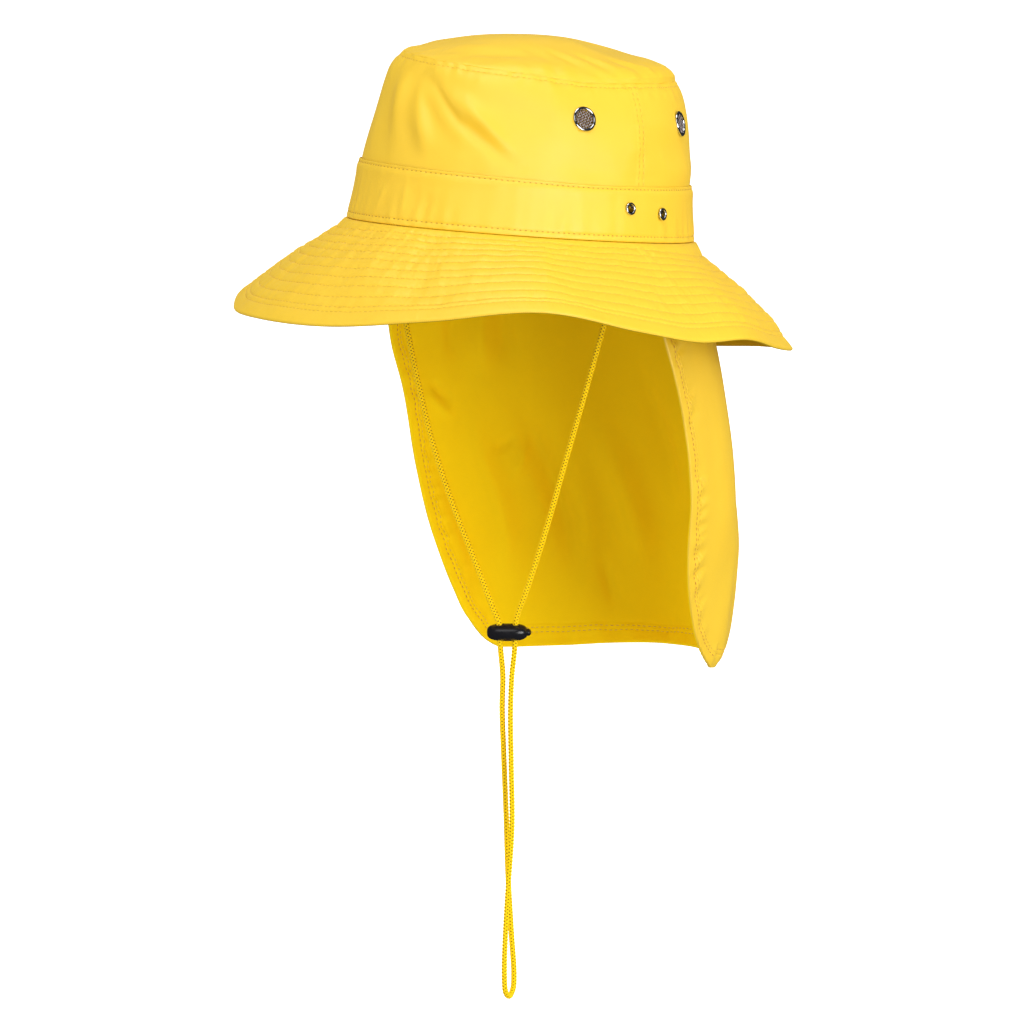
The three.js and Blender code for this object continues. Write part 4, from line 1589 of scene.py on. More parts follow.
@dataclass
class Crown:
    """The crown: two side panels that meet at the side seams, and a domed tip."""

    shape: CrownShape = field(default_factory=CrownShape)
    columns: int = 270  # round each side panel
    edge_columns: tuple[float, ...] = (0.105, 0.28, 0.525)  # degrees from a side seam
    edge_rows: tuple[float, ...] = (0.12, 0.35, 0.7)  # millimetres from the tip seam
    row_step: float = 1.5
    cut_height: float = 88  # the panels' cloth, for its rows
    seam_height: float = 86
    slant_height: float = 87
    tip_slant: float = 72  # from the tip seam to the top
    seam_strip: float = 5.4
    seam_rows: tuple[float, ...] = (1.2, 4.2)  # rows of stitches beside a side seam
    tip_row: float = 2.2  # the row of stitches below the tip seam
    degree_length: float = 1.42  # millimetres round the side in a degree
    tip_radius: float = 66
    stitch: Stitch = Stitch()
    # over the panels: angle and height of the line's points, then width and height of the crease
    creases: tuple[Crease, ...] = (
        Crease(((-8, 76), (-4.5, 68), (-0.5, 58), (3.5, 47), (7, 36)), 5.2, 2.4),
        Crease(((-14, 76), (-10.5, 66), (-7, 54), (-2, 42), (3, 32)), 5.6, -0.8),
        Crease(((-30, 82), (-26, 62), (-19, 44), (-12, 30)), 14.0, -2.1),
        Crease(((-6, 78), (3, 73), (9.5, 66), (17, 57.5), (26, 51.5), (32, 45.5), (42, 36)), 3.9, -3.1),
        Crease(((14, 73), (21, 64.5), (27.5, 56.5), (35, 47.5), (41, 40)), 4.4, 2.1),
        Crease(((104, 40), (128, 39), (152, 40)), 8.0, 1.3),
        Crease(((-26, 77), (-6, 77), (10, 74), (25, 70), (40, 65), (60, 58)), 6.5, -1.3),
        Crease(((84, 56), (102, 51), (118, 44)), 9.0, -1.1),
        Crease(((92, 70), (106, 64), (122, 60)), 7.0, 0.8),
        Crease(((50, 44), (68, 40), (84, 42)), 6.0, -0.5),
        Crease(((140, 70), (152, 58), (160, 44)), 6.0, -1.2),
        Crease(((-174, 74), (-166, 60), (-154, 48)), 5.0, 1.2),
        Crease(((-128, 72), (-118, 58), (-112, 44)), 5.0, -1.2),
        Crease(((-70, 72), (-58, 60), (-50, 46)), 6.0, 1.0),
    )
    # over the tip: angle and millimetres in from the seam of the line's points
    tip_creases: tuple[Crease, ...] = (
        Crease(((46, 27), (60, 15), (73, 2)), 3.0, -1.0),
        Crease(((52, 27), (65, 15), (77, 2)), 3.0, 0.6),
        Crease(((66, 24), (76, 12), (82, 1)), 2.8, -1.0),
        Crease(((73, 22), (81, 11), (87, 1)), 2.8, 0.6),
        Crease(((84, 20), (93, 10), (101, 0)), 2.6, -0.9),
        Crease(((93, 18), (101, 9), (108, 0)), 2.6, 0.5),
        Crease(((30, 30), (44, 20), (56, 8)), 3.4, -1.0),
        Crease(((2, 8), (14, 12), (32, 16), (52, 14)), 5.0, -1.3),
        Crease(((78, 30), (125, 36), (172, 36)), 19.0, -3.4),
        Crease(((-12, 16), (4, 19), (20, 24)), 5.0, 0.6),
        Crease(((140, 22), (160, 16), (180, 18)), 6.0, -0.7),
        Crease(((-80, 20), (-60, 14), (-44, 18)), 6.0, 0.6),
    )

    def unevenness(self, sheet: ClothSheet, amount: float) -> Array:
        """Reads the soft hollows and small creases of worn cloth, the same on both faces.

        Args:
            sheet: the cloth.
            amount: how deep it is, in millimetres.

        Returns:
            A distance outwards at each corner.
        """
        broad = Ripple(46, 11).at(sheet.points)
        small = Ripple(15, 12, stretch=(1, 1, 0.5)).at(sheet.points)
        return amount * (0.62 * broad + 0.2 * small * smoothstep(broad, -0.2, 0.9))

    def panel(self, solid: str, middle: float, holes: Sequence[Hole], finish: Sequence[Material]) -> Piece:
        """Makes one side panel.

        Args:
            solid: the solid that it stands for.
            middle: the angle of its middle.
            holes: the vents' and eyelets' holes.
            finish: the cloth's materials.

        Returns:
            The panel.
        """
        rows = dense(0, self.cut_height, self.row_step, (self.tip_row, self.cut_height - self.tip_row))
        rows = np.concatenate([rows, self.cut_height - np.array(self.edge_rows)]) / self.cut_height
        turn, near = np.linspace(-90, 90, self.columns + 1), np.array(self.edge_columns)
        turn = np.unique(np.concatenate([turn, near - 90, 90 - near]))
        angle, place = np.meshgrid(middle + turn, np.unique(rows))
        edges = {"start": Edge.CLOSED, "end": Edge.SEWN, "sides": Edge.SEWN}
        sheet = ClothSheet(self.shape, angle, place, **edges, roundness=0.8)
        height, below = place * self.seam_height, (1 - place) * self.slant_height
        near_side = np.where(np.sin(np.radians(angle)) > 0, angle, 360 - angle % 360)
        aside = -turn_between(90, near_side) * self.degree_length
        strip = self.seam_strip
        layer = 0.38 * smoothstep(aside, -0.15, 0.15) * (1 - smoothstep(aside, strip - 0.3, strip))
        groove = sum(ridge(aside - row, 0.5) for row in self.seam_rows)
        free = smoothstep(height, 26, 40)
        gathers = Ripple(8, 21, stretch=(1, 1, 0.12)).at(sheet.points) * ridge(below - 2, 5.5)
        gathers = gathers + 0.5 * Ripple(5, 22, stretch=(1, 1, 0.1)).at(sheet.points) * ridge(below - 1, 3)
        beside = 0.3 * Ripple(7, 23, stretch=(0.15, 0.3, 1)).at(sheet.points) * ridge(aside - 3, 7)
        wave = (self.unevenness(sheet, 0.9) * smoothstep(below, 0, 10) + beside) * free + 0.28 * gathers
        wave = wave + creased(self.creases, turn_between(0, angle), height, self.shape.fold_radius)
        raised = (layer - 0.3 * groove) * smoothstep(below, 0.4, 1.6)
        relief = {Side.OUTER: wave + raised - 0.22 * ridge(below - self.tip_row, 0.5), Side.INNER: -wave}
        piece = sheet.build(f"{solid}_cloth", self.shape.cloth, -self.shape.cloth / 2, relief, holes)
        settle(piece, finish, "cotton", solid)
        return piece

    def tip(self, finish: Sequence[Material]) -> Piece:
        """Makes the domed tip, whose edge bulges a little over its seam.

        Args:
            finish: the cloth's materials.

        Returns:
            The tip.
        """
        inward = np.concatenate([[0, *self.edge_rows], dense(1.2, self.tip_slant, 1.7, (2.6,))])
        around = np.arange(2 * self.columns) / self.columns * 180 + 90
        angle, place = np.meshgrid(around, 1 + inward / self.tip_slant)
        sheet = ClothSheet(self.shape, angle, place, ring=True, start=Edge.SEWN, end=Edge.POLE, roundness=0.8)
        seam = (place - 1) * self.tip_slant
        puckers = Ripple(9, 31, stretch=(1, 1, 0.2)).at(sheet.points) * ridge(seam - 3, 7)
        wave = 0.3 * puckers + self.unevenness(sheet, 0.35) * smoothstep(seam, 2, 18)
        tight = 0.15 + 0.9 * ridge(turn_between(118, angle), 46) + 0.25 * ridge(turn_between(-90, angle), 50)
        bulge = tight * smoothstep(seam, 0.2, 1.6) * (1 - smoothstep(seam, 3, 11))
        wave = wave + creased(self.tip_creases, (angle + 90) % 360 - 90, seam, self.tip_radius)
        relief = {
            Side.OUTER: (wave + bulge) * smoothstep(seam, -0.2, 1),
            Side.INNER: -wave * smoothstep(seam, 0, 3),
        }
        piece = sheet.build("crown_tip_cloth", self.shape.cloth, -self.shape.cloth / 2, relief)
        settle(piece, finish, "cotton", "crown_tip")
        return piece

    def build(self, cotton: CottonCloth, needle: Needle, holes: Sequence[Hole]) -> None:
        """Makes the crown's cloth, and sews the tip seam and the side seams.

        Args:
            cotton: the cloth's finish.
            needle: what sews it.
            holes: the vents' and eyelets' holes.
        """
        finish = cotton.pair("crown_cotton")
        front = self.panel("crown_front", 0, holes, finish)
        back = self.panel("crown_back", 180, holes, finish)
        tip = self.tip(finish)
        around, rise = np.linspace(-88.6, 88.6, 260), np.linspace(0.37, 0.965, 60)
        low = 1 - self.tip_row / self.slant_height
        paths = [curve_path(self.shape, around, low, 4)]
        for row in self.seam_rows:
            for side in (-1, 1):
                paths.append(curve_path(self.shape, side * (90 - row / self.degree_length), rise, 4))
        needle.sew("crown_front_stitches", front, self.stitch, paths)
        needle.sew("crown_back_stitches", back, self.stitch, [curve_path(self.shape, 180 + around, low, 4)])


@dataclass
class HatBand:
    """The strip of cloth round the foot of the crown, folded in at both edges and sewn down."""

    crown: CrownShape = field(default_factory=CrownShape)
    cloth: float = 1.3
    top_place: float = 0.352
    length: float = 31  # millimetres from its lower edge to its upper
    columns: int = 540
    low_row: float = 3.1
    high_row: float = 1.7  # down from the upper edge
    crease_radius: float = 96
    stitch: Stitch = Stitch(pitch=3.0, length=1.5, width=0.75)
    # angle and millimetres up from the brim of the line's points
    creases: tuple[Crease, ...] = (
        Crease(((-13, 3), (-11, 12), (-9, 22)), 2.6, 0.8),
        Crease(((0, 3), (1, 12), (1, 22)), 2.6, 0.7),
        Crease(((9, 2), (11, 12), (12, 20)), 3.0, -0.8),
        Crease(((5, 4), (6, 12), (6, 24)), 2.6, -0.6),
    )

    def build(self, cotton: CottonCloth, needle: Needle, holes: Sequence[Hole]) -> None:
        """Makes the band and its stitches.

        Args:
            cotton: the cloth's finish.
            needle: what sews it.
            holes: the eyelets' holes.
        """
        ends, levels = np.array([0, 0.1, 0.3]), (self.low_row, self.length - self.high_row)
        rows = np.concatenate([ends, dense(0.6, self.length - 0.6, 1.3, levels), self.length - ends])
        rows = np.unique(rows) / self.length * self.top_place
        angle, place = np.meshgrid(np.arange(self.columns) / self.columns * 360 + 90, rows)
        sheet = ClothSheet(self.crown, angle, place, ring=True, roundness=0.4)
        low = place / self.top_place * self.length
        high = self.length - low
        upright = Ripple(8.5, 41, stretch=(1, 1, 0.08)).at(sheet.points)
        where = smoothstep(Ripple(60, 42).at(sheet.points), -0.5, 0.6)
        lift = upright * (0.27 * ridge(low - 4, 8) * (0.35 + 0.65 * where) + 0.1)
        lift = lift + creased(self.creases, turn_between(0, angle), low, self.crease_radius)
        lift = lift + 0.25 * Ripple(38, 43).at(sheet.points) * smoothstep(low, 0, 6) * smoothstep(high, 0, 6)
        lift = lift + 0.3 * ridge(high - 4.2, 2.4) + 0.16 * ridge(high - 0.6, 0.8) - 0.4 * ridge(high, 3.2)
        grooves = 0.28 * ridge(high - self.high_row, 0.5) + 0.34 * ridge(low - self.low_row, 0.6)
        relief = {Side.OUTER: lift * smoothstep(low, 0, 2) - grooves, Side.INNER: 0.0}
        piece = sheet.build("hat_band_cloth", self.cloth, self.crown.gap + self.cloth / 2, relief, holes)
        settle(piece, cotton.pair("band_cotton"), "cotton", "hat_band")
        around = np.linspace(0, 360, 420, endpoint=False)
        places = [level / self.length * self.top_place for level in levels]
        paths = [curve_path(self.crown, around, level, 5, closed=True) for level in places]
        needle.sew("hat_band_stitches", piece, self.stitch, paths)


@dataclass
class Brim:
    """The brim: layers of cloth sewn together in rings of stitches, with a bound outer edge."""

    shape: BrimShape = field(default_factory=BrimShape)
    cloth: float = 2.0
    columns: int = 512
    slope: float = 79  # millimetres from the inner edge to the outer
    edge_rows: tuple[float, ...] = (0.8, 0.45, 0.2, 0.05, 0)
    rows_from_edge: tuple[float, ...] = (8.4, 11.5, 17.6, 24.6, 31, 37.4, 44.4, 50.8, 56.8, 63.2, 69.6)
    # angle and millimetres in from the edge of the line's points
    swells: tuple[Crease, ...] = (
        Crease(((0, 66), (4, 50), (8, 14), (9, 2)), 9.0, 1.2),
        Crease(((17, 66), (20, 40), (22, 14), (23, 2)), 10.0, -1.2),
        Crease(((-26, 60), (-22, 30), (-18, 6)), 10.0, -0.7),
        Crease(((52, 60), (56, 34), (60, 8)), 14.0, -0.8),
        Crease(((96, 60), (100, 34), (104, 8)), 12.0, 0.7),
        Crease(((170, 60), (176, 34), (180, 8)), 14.0, 0.8),
        Crease(((230, 60), (236, 34), (240, 8)), 14.0, -0.8),
    )
    swell_radius: float = 120
    seam_angle: float = 82.5
    seam_radius: float = 115
    wound_radius: float = 130  # of the ring that the puckers follow
    stitch: Stitch = Stitch(pitch=3.2, length=2.3, width=0.45, height=0.34)

    def relief(self, sheet: ClothSheet) -> dict[Side, Array]:
        """Reads the brim's puckers and swells, its seam and its rings of stitches.

        Args:
            sheet: the brim's grid.

        Returns:
            How far each face is raised.
        """
        angle, place = sheet.angle, sheet.place
        out = (1 - place) * self.slope
        first, second = self.rows_from_edge[:2]
        grooves = sum(ridge(out - row, 0.62) for row in self.rows_from_edge)
        quilted = smoothstep(out, first - 0.5, first + 2.5)
        turn = np.radians(angle)
        wound = [np.cos(turn) * self.wound_radius, np.sin(turn) * self.wound_radius, out * 0.55]
        wound = np.stack(wound, -1)
        puckers = Ripple(6.5, 51, waves=30).at(wound) * 0.15 + Ripple(15, 52).at(wound) * 0.2
        worn = 0.4 + 0.6 * ridge(turn_between(-10, angle), 45)
        puckers = puckers + 0.09 * Ripple(4.2, 54, waves=30).at(wound) * worn
        between = np.min([np.abs(out - row) for row in self.rows_from_edge], axis=0)
        pillow = 0.2 * smoothstep(between, 0, 3) * smoothstep(out, first, second)
        swell = 0.25 * Ripple(34, 53).at(sheet.points) + pillow
        swell = swell + creased(self.swells, (angle + 60) % 360 - 60, out, self.swell_radius)
        free = smoothstep(out, 0, 3) * smoothstep(place, 0.03, 0.12)
        soft = (puckers * (0.35 + 0.65 * quilted) + swell) * free
        aside = turn_between(self.seam_angle, angle) * math.radians(self.seam_radius)
        seam = 0.42 * smoothstep(aside, -0.2, 0.2) * (1 - smoothstep(aside, 5.6, 6.0))
        seam = (seam - 0.2 * (ridge(aside - 1.2, 0.6) + ridge(aside - 4.8, 0.6))) * free
        rolled = 0.24 * ridge(out - 3.2, 2.4) + 0.22 * ridge(self.slope - out - 4.4, 1.6)
        rolled = rolled - 0.4 * grooves * smoothstep(place, 0.03, 0.1)
        return {Side.OUTER: soft + seam + rolled, Side.INNER: -soft + 2 * pillow * free + rolled}

    def build(self, cotton: CottonCloth, needle: Needle) -> None:
        """Makes the brim and its rings of stitches.

        Args:
            cotton: the cloth's finish.
            needle: what sews it.
        """
        rows = dense(0, self.slope - 1.2, 2.1, [self.slope - row for row in self.rows_from_edge])
        rows = np.unique(np.concatenate([rows, self.slope - np.array(self.edge_rows)]) / self.slope)
        angle, place = np.meshgrid(np.arange(self.columns) / self.columns * 360, rows)
        sheet = ClothSheet(self.shape, angle, place, ring=True, start=Edge.CLOSED)
        piece = sheet.build("brim_cloth", self.cloth, -self.cloth / 2, self.relief(sheet))
        settle(piece, cotton.pair("brim_cotton"), "cotton", "brim")
        around = np.linspace(0, 360, 640, endpoint=False)
        paths = [
            curve_path(self.shape, around, 1 - row / self.slope, lift, closed=True)
            for row in self.rows_from_edge
            for lift in (4, -self.cloth - 4)
        ]
        needle.sew("brim_stitches", piece, self.stitch, paths)


@dataclass
class NeckFlap:
    """The hanging neck flap, with a folded hem down its front edges and along its foot."""

    shape: FlapShape = field(default_factory=FlapShape)
    cloth: float = 1.5
    height: float = 256
    width: float = 330
    edge_rows: tuple[float, ...] = (0, 0.05, 0.2, 0.45, 0.8)
    foot_hem: float = 12.2
    side_hem: float = 9.6
    side_rows: tuple[float, ...] = (5.5, 8.0)
    foot_rows: tuple[float, ...] = (8.0, 10.6)
    # millimetres down the front edges
    tucks: tuple[float, ...] = (52, 74, 101, 113, 147, 158, 165, 174, 180, 191, 203, 224)
    crease_radius: float = 112
    middle: tuple[float, float, float] = (0, 60, -120)
    unsewn_points: int = 34  # points of the outline under the brim, before the first stitch
    stitch: Stitch = Stitch(pitch=3.0, length=2.1, width=0.6)
    # angle and millimetres down from the top edge of the line's points
    creases: tuple[Crease, ...] = (
        Crease(((244, 40), (245, 70), (246, 96)), 5.5, 4.6),
        Crease(((236, 40), (237, 72), (238, 104)), 6.5, -4.2),
        Crease(((228, 40), (229, 72), (230, 98)), 5.5, 4.6),
        Crease(((255, 104), (252, 111), (248, 117)), 3.0, 2.4),
        Crease(((257, 112), (253, 120), (249, 126)), 3.2, -2.0),
        Crease(((256, 130), (253, 170), (249, 215), (247, 236)), 8.0, 4.8),
        Crease(((243, 120), (241, 160), (241, 190), (244, 228)), 8.0, -5.0),
        Crease(((228, 112), (223, 150), (221, 184), (221, 226)), 8.0, 6.4),
        Crease(((239, 146), (235, 141), (230, 134)), 2.6, 2.2),
        Crease(((234, 160), (230, 150), (227, 138)), 2.8, -2.2),
        Crease(((206, 108), (202, 150), (198, 196), (196, 230)), 11.0, -4.8),
        Crease(((186, 90), (184, 130), (182, 180)), 8.0, 3.2),
        Crease(((212, 205), (209, 226), (207, 240)), 3.5, 1.7),
        Crease(((150, 80), (148, 130), (147, 190)), 10.0, 2.7),
        Crease(((128, 140), (130, 180), (131, 220)), 6.0, -2.0),
    )

    def outline(self) -> tuple[Array, Array, Array]:
        """Follows the flap's free edge: down one front edge, along the foot and up the other.

        Returns:
            The angle and place of its points, and the numbers of the points on the foot.
        """
        down = np.linspace(0, 1, 300)
        front = self.shape.front_angle(down)
        share = np.linspace(0, 1, 420)[1:-1]
        foot = front[-1] + (360 - 2 * front[-1]) * share
        angle = np.concatenate([front, foot, 360 - front[::-1]])
        place = np.concatenate([down, np.ones(foot.shape), down[::-1]])
        return angle, place, np.arange(len(down), len(down) + len(foot))

    def nearest(self, points: Array, line: Array) -> tuple[Array, Array]:
        """Measures how far points are from a line.

        Args:
            points: the grid's points.
            line: points along the line.

        Returns:
            The distances, and the number of the nearest point of the line.
        """
        flat, block = points.reshape(-1, 3), 4000
        squares = (line**2).sum(1)
        distance, number = np.zeros(len(flat)), np.zeros(len(flat), int)
        for start in range(0, len(flat), block):
            part = slice(start, start + block)
            gaps = (flat[part] ** 2).sum(1)[:, None] - 2 * flat[part] @ line.T + squares
            number[part] = gaps.argmin(1)
            distance[part] = np.sqrt(np.maximum(gaps.min(1), 0))
        return distance.reshape(points.shape[:-1]), number.reshape(points.shape[:-1])

    def relief(self, sheet: ClothSheet) -> dict[Side, Array]:
        """Reads the hem, its stitch grooves and puckers, and the soft hang of the cloth.

        Args:
            sheet: the flap's grid.

        Returns:
            How far each face is raised.
        """
        angle, place, foot = self.outline()
        line = self.shape.point(angle, place)
        travel = travelled(line)
        away, number = self.nearest(sheet.points, line)
        on_foot = (number >= foot[0]) & (number <= foot[-1])
        along = travel[number]
        hem = 0.5 * smoothstep(np.where(on_foot, self.foot_hem, self.side_hem) - away, 0, 0.5)
        foot_grooves, side_grooves = (
            sum(ridge(away - row, 0.55) for row in rows) for rows in (self.foot_rows, self.side_rows)
        )
        rows = np.where(on_foot, foot_grooves, side_grooves)
        wound = np.stack([along, away * 0.3, np.zeros_like(along)], -1)
        puckers = 0.6 * Ripple(10, 61, stretch=(1, 1, 0)).at(wound) * ridge(away - 7.5, 5)
        down = np.minimum(along, travel[-1] - along)
        tucks = sum(ridge(down - tuck, 1.6) - 0.5 * ridge(down - tuck - 3.4, 2.4) for tuck in self.tucks)
        beside_hem = smoothstep(away, 5.5, 9) * (1 - smoothstep(away, 10, 19))
        puckers = puckers - 1.3 * np.where(on_foot, 0, tucks) * beside_hem
        tall = sheet.points * np.array([1, 1, 0.32])
        hang = 1.1 * Ripple(62, 62).at(tall) + 0.4 * Ripple(24, 63).at(tall)
        hang = hang + creased(self.creases, sheet.angle, sheet.place * self.height, self.crease_radius)
        hang = hang * smoothstep(sheet.place, 0.1, 0.35) * smoothstep(away, 0, 16)
        gathers = 0.9 * Ripple(13, 64).at(sheet.points * np.array([1, 1, 0.1])) * smoothstep(away, 0, 12)
        gathers = gathers * smoothstep(sheet.place, 0.06, 0.12) * (1 - smoothstep(sheet.place, 0.15, 0.36))
        top = smoothstep(sheet.place, 0.05, 0.1)
        wave = (hang + gathers + puckers * smoothstep(away, 0, 2)) * top
        step, rows = hem * smoothstep(away, 0, 0.8) * top, rows * top
        return {Side.OUTER: wave + 0.4 * step - 0.3 * rows, Side.INNER: -wave + step - 0.34 * rows}

    def hem_path(self, distance: float, foot: bool, lift: float) -> list[Path]:
        """Follows the free edge at an even distance.

        Args:
            distance: millimetres in from the edge.
            foot: whether the lines run along the foot, and not down the front edges.
            lift: how far outwards from the surface the points are.

        Returns:
            Open lines: points in metres, and directions to the cloth.
        """
        angle, place, numbers = self.outline()
        line = self.shape.point(angle, place)
        normal = self.shape.normal(angle, place)
        inward = np.cross(unit(np.gradient(line, axis=0)), normal)
        inward *= np.sign(((np.array(self.middle) - line) * inward).sum(-1, keepdims=True))
        moved = (line + inward * distance + normal * lift) * MM
        ways = -normal * math.copysign(1, lift)
        first, last = numbers[0], numbers[-1]
        bare = self.unsewn_points
        spans = [slice(first + 2, last - 1)] if foot else [slice(bare, first - 3), slice(last + 4, -bare)]
        return [(moved[span], ways[span], False) for span in spans]

    def build(self, cotton: CottonCloth, needle: Needle, bright: Needle) -> None:
        """Makes the flap and its stitches.

        Args:
            cotton: the cloth's finish.
            needle: sews with thread of the cloth's colour.
            bright: sews with orange-brown thread.
        """
        ends = np.array(self.edge_rows)
        middle = dense(1.4, self.height - 14.5, 1.75)
        rows = np.concatenate([ends, middle, self.height - np.arange(1.3, 14, 0.62), self.height - ends])
        side = np.concatenate([ends, np.arange(1.3, 12, 0.66)])
        columns = np.concatenate([side, dense(13, self.width - 13, 1.75), self.width - side])
        shares, downs = (np.unique(np.round(line, 3)) for line in (columns, rows))
        share, place = np.meshgrid(shares / self.width, downs / self.height)
        front = self.shape.front_angle(place)
        sheet = ClothSheet(self.shape, front + (360 - 2 * front) * share, place, roundness=0.8)
        piece = sheet.build("neck_flap_cloth", self.cloth, self.cloth / 2, self.relief(sheet))
        settle(piece, cotton.pair("flap_cotton"), "cotton", "neck_flap")
        plain, orange = [], []
        for lift in (-4, self.cloth + 4):
            orange += self.hem_path(self.side_rows[0], False, lift)
            plain += self.hem_path(self.side_rows[1], False, lift)
            for row in self.foot_rows:
                plain += self.hem_path(row, True, lift)
        needle.sew("neck_flap_stitches", piece, self.stitch, plain)
        bright.sew("neck_flap_hem_stitches", piece, self.stitch, orange)


class GauzePattern(NodePattern):
    """Woven wire gauze: two families of wires that pass over and under each other, cut to a disc."""

    def __init__(self) -> None:
        """Builds the tree."""
        super().__init__("wire_gauze", "Pitch", "Wire", "Reach")
        both = self.add("GeometryNodeJoinGeometry")
        for along, across, way in (("X", "Y", 1.0), ("Y", "X", -1.0)):
            self.tree.links.new(self.family(along, across, way), both.inputs["Geometry"])
        section = {"Resolution": 5, "Radius": self.given["Wire"]}
        profile = self.add("GeometryNodeCurvePrimitiveCircle", section, mode="RADIUS").outputs["Curve"]
        swept = {"Curve": both.outputs["Geometry"], "Profile Curve": profile, "Fill Caps": True}
        wires = self.add("GeometryNodeCurveToMesh", swept).outputs["Mesh"]
        turn = self.add("FunctionNodeAlignRotationToVector", {"Vector": self.normals()}, axis="Z").outputs[0]
        self.finish(self.instances(Points=self.given["Geometry"], Instance=wires, Rotation=turn))

    def family(self, along: str, across: str, way: float) -> Socket:
        """Lays one family of waved wires.

        Args:
            along: the axis that the wires run along.
            across: the axis that they are spaced along.
            way: 1 or -1, whether the first wire starts over or under the others.

        Returns:
            The wires as curves.
        """
        add, maths = self.add, self.maths
        pitch, radius, reach = (self.given[label] for label in ("Pitch", "Wire", "Reach"))
        count = maths("CEIL", maths("DIVIDE", reach, pitch))
        first = maths("MULTIPLY", maths("MULTIPLY", count, pitch), -1.0)
        ends = {
            "Start": self.vector(**{along: maths("MULTIPLY", reach, -1.0)}),
            "End": self.vector(**{along: reach}),
        }
        wire = add("GeometryNodeCurvePrimitiveLine", ends).outputs["Curve"]
        spaced = {"Curve": wire, "Length": maths("DIVIDE", pitch, 4.0)}
        fine = add("GeometryNodeResampleCurve", spaced, mode="LENGTH").outputs["Curve"]
        row = {
            "Count": maths("MULTIPLY_ADD", count, 2.0, 1.0),
            "Start Location": self.vector(**{across: first}),
            "Offset": self.vector(**{across: pitch}),
        }
        places = add("GeometryNodeMeshLine", row, mode="OFFSET").outputs["Mesh"]
        wires = self.instances(Points=places, Instance=fine)
        real = add("GeometryNodeRealizeInstances", {"Geometry": wires}).outputs["Geometry"]
        position = add("GeometryNodeInputPosition").outputs["Position"]
        x, y, _ = add("ShaderNodeSeparateXYZ", {"Vector": position}).outputs
        phase = maths("MULTIPLY", maths("DIVIDE", maths("ADD", x, y), pitch), math.pi)
        lift = maths("MULTIPLY", maths("MULTIPLY", maths("COSINE", phase), radius), way)
        waved = add("GeometryNodeSetPosition", {"Geometry": real, "Offset": self.vector(Z=lift)}).outputs[0]
        span = add("ShaderNodeVectorMath", {0: self.vector(X=x, Y=y)}, operation="LENGTH").outputs["Value"]
        outside = add("FunctionNodeCompare", {"A": span, "B": reach}, operation="GREATER_THAN").outputs[0]
        cut = {"Geometry": waved, "Selection": outside}
        return add("GeometryNodeDeleteGeometry", cut, domain="POINT").outputs["Geometry"]


@dataclass
class Trim:
    """The metal trim, the same on both sides: vents with rims and gauze, and eyelets in the band."""

    crown: CrownShape = field(default_factory=CrownShape)
    # angle and height of each fitting
    vents: Outline = ((64, 62.8), (115.6, 62.8), (-64, 62.8), (-115.6, 62.8))
    eyelets: Outline = ((82.4, 17.3), (98, 15), (-82.4, 17.3), (-98, 15))
    vent_hole: float = 5.95
    eyelet_hole: float = 2.75
    band_face: float = 1.6
    gauze_reach: float = 5.05
    gauze_pitch: float = 1.28
    gauze_wire: float = 0.22
    gauze_rise: float = 0.35

    def holes(self, marks: Outline, radius: float) -> list[Hole]:
        """The holes that fittings need in the cloth, in the leaning frame."""
        return [Hole(*self.crown.mark(angle, height), radius) for angle, height in marks]

    def vent_rim(self) -> Outline:
        """Draws a vent rim's profile: a barrel through the cloth under a rolled lip.

        Returns:
            Radius and height of its points, in millimetres.
        """
        turns = np.linspace(-0.45, math.pi, 13)
        lip = [(5.98 + 0.84 * math.cos(t), 0.62 + 0.86 * math.sin(t)) for t in turns]
        return [(5.2, -1.9), (5.75, -1.9), (5.8, 0.3), (6.6, 0.22), *lip, (5.12, 0.1)]

    def eyelet_rim(self) -> Outline:
        """Draws an eyelet's profile, over the band's outer face.

        Returns:
            Radius and height of its points, in millimetres.
        """
        face, turns = self.band_face, np.linspace(-0.4, math.pi, 11)
        lip = [(2.78 + 0.74 * math.cos(t), face + 0.5 + 0.76 * math.sin(t)) for t in turns]
        return [(2.02, -1.9), (2.5, -1.9), (2.55, face + 0.2), (3.4, face + 0.16), *lip, (2.02, face)]

    def rims(self, name: str, solid: str, shell: Shell, marks: Outline, finish: Material) -> None:
        """Sets a rim at each mark and makes one piece of them.

        Args:
            name: the piece's name.
            solid: the start of the names of the solids that it stands for.
            shell: one rim, round +Z.
            marks: angle and height of each rim.
            finish: the metal's material.
        """
        corners, faces = shell
        points = [to_place(corners, *self.crown.mark(angle, height)) for angle, height in marks]
        numbers = [faces + len(corners) * i for i in range(len(marks))]
        piece = turned_outwards(mesh_object(name, np.concatenate(points), np.concatenate(numbers)))
        settle(piece, finish, "chrome", *(f"{solid}_{i + 1}" for i in range(len(marks))))

    def build(self, chrome: Metal, wire: Metal) -> None:
        """Makes the rims, the eyelets and the gauze.

        Args:
            chrome: the finish of the rims and eyelets.
            wire: the finish of the gauze.
        """
        bright = chrome.material("trim_chrome")
        vent = turned_shell(self.vent_rim(), 56, closed=True)
        self.rims("vent_rims", "vent_ring", vent, self.vents, bright)
        eyelet = turned_shell(self.eyelet_rim(), 40, closed=True)
        self.rims("band_eyelet_rims", "band_eyelet", eyelet, self.eyelets, bright)
        marks = [self.crown.mark(angle, height) for angle, height in self.vents]
        lines = [
            (LEAN.move(point + normal * self.gauze_rise)[None] * MM, LEAN.move(normal)[None], False)
            for point, normal in marks
        ]
        dull = wire.material("gauze_wire")
        sizes = {"Pitch": self.gauze_pitch, "Wire": self.gauze_wire, "Reach": self.gauze_reach}
        gauze = GauzePattern().run("vent_gauze", lines_mesh("gauze", lines), dull, **sizes)
        settle(gauze, dull, "wire", *(f"vent_mesh_{i + 1}" for i in range(len(marks))))


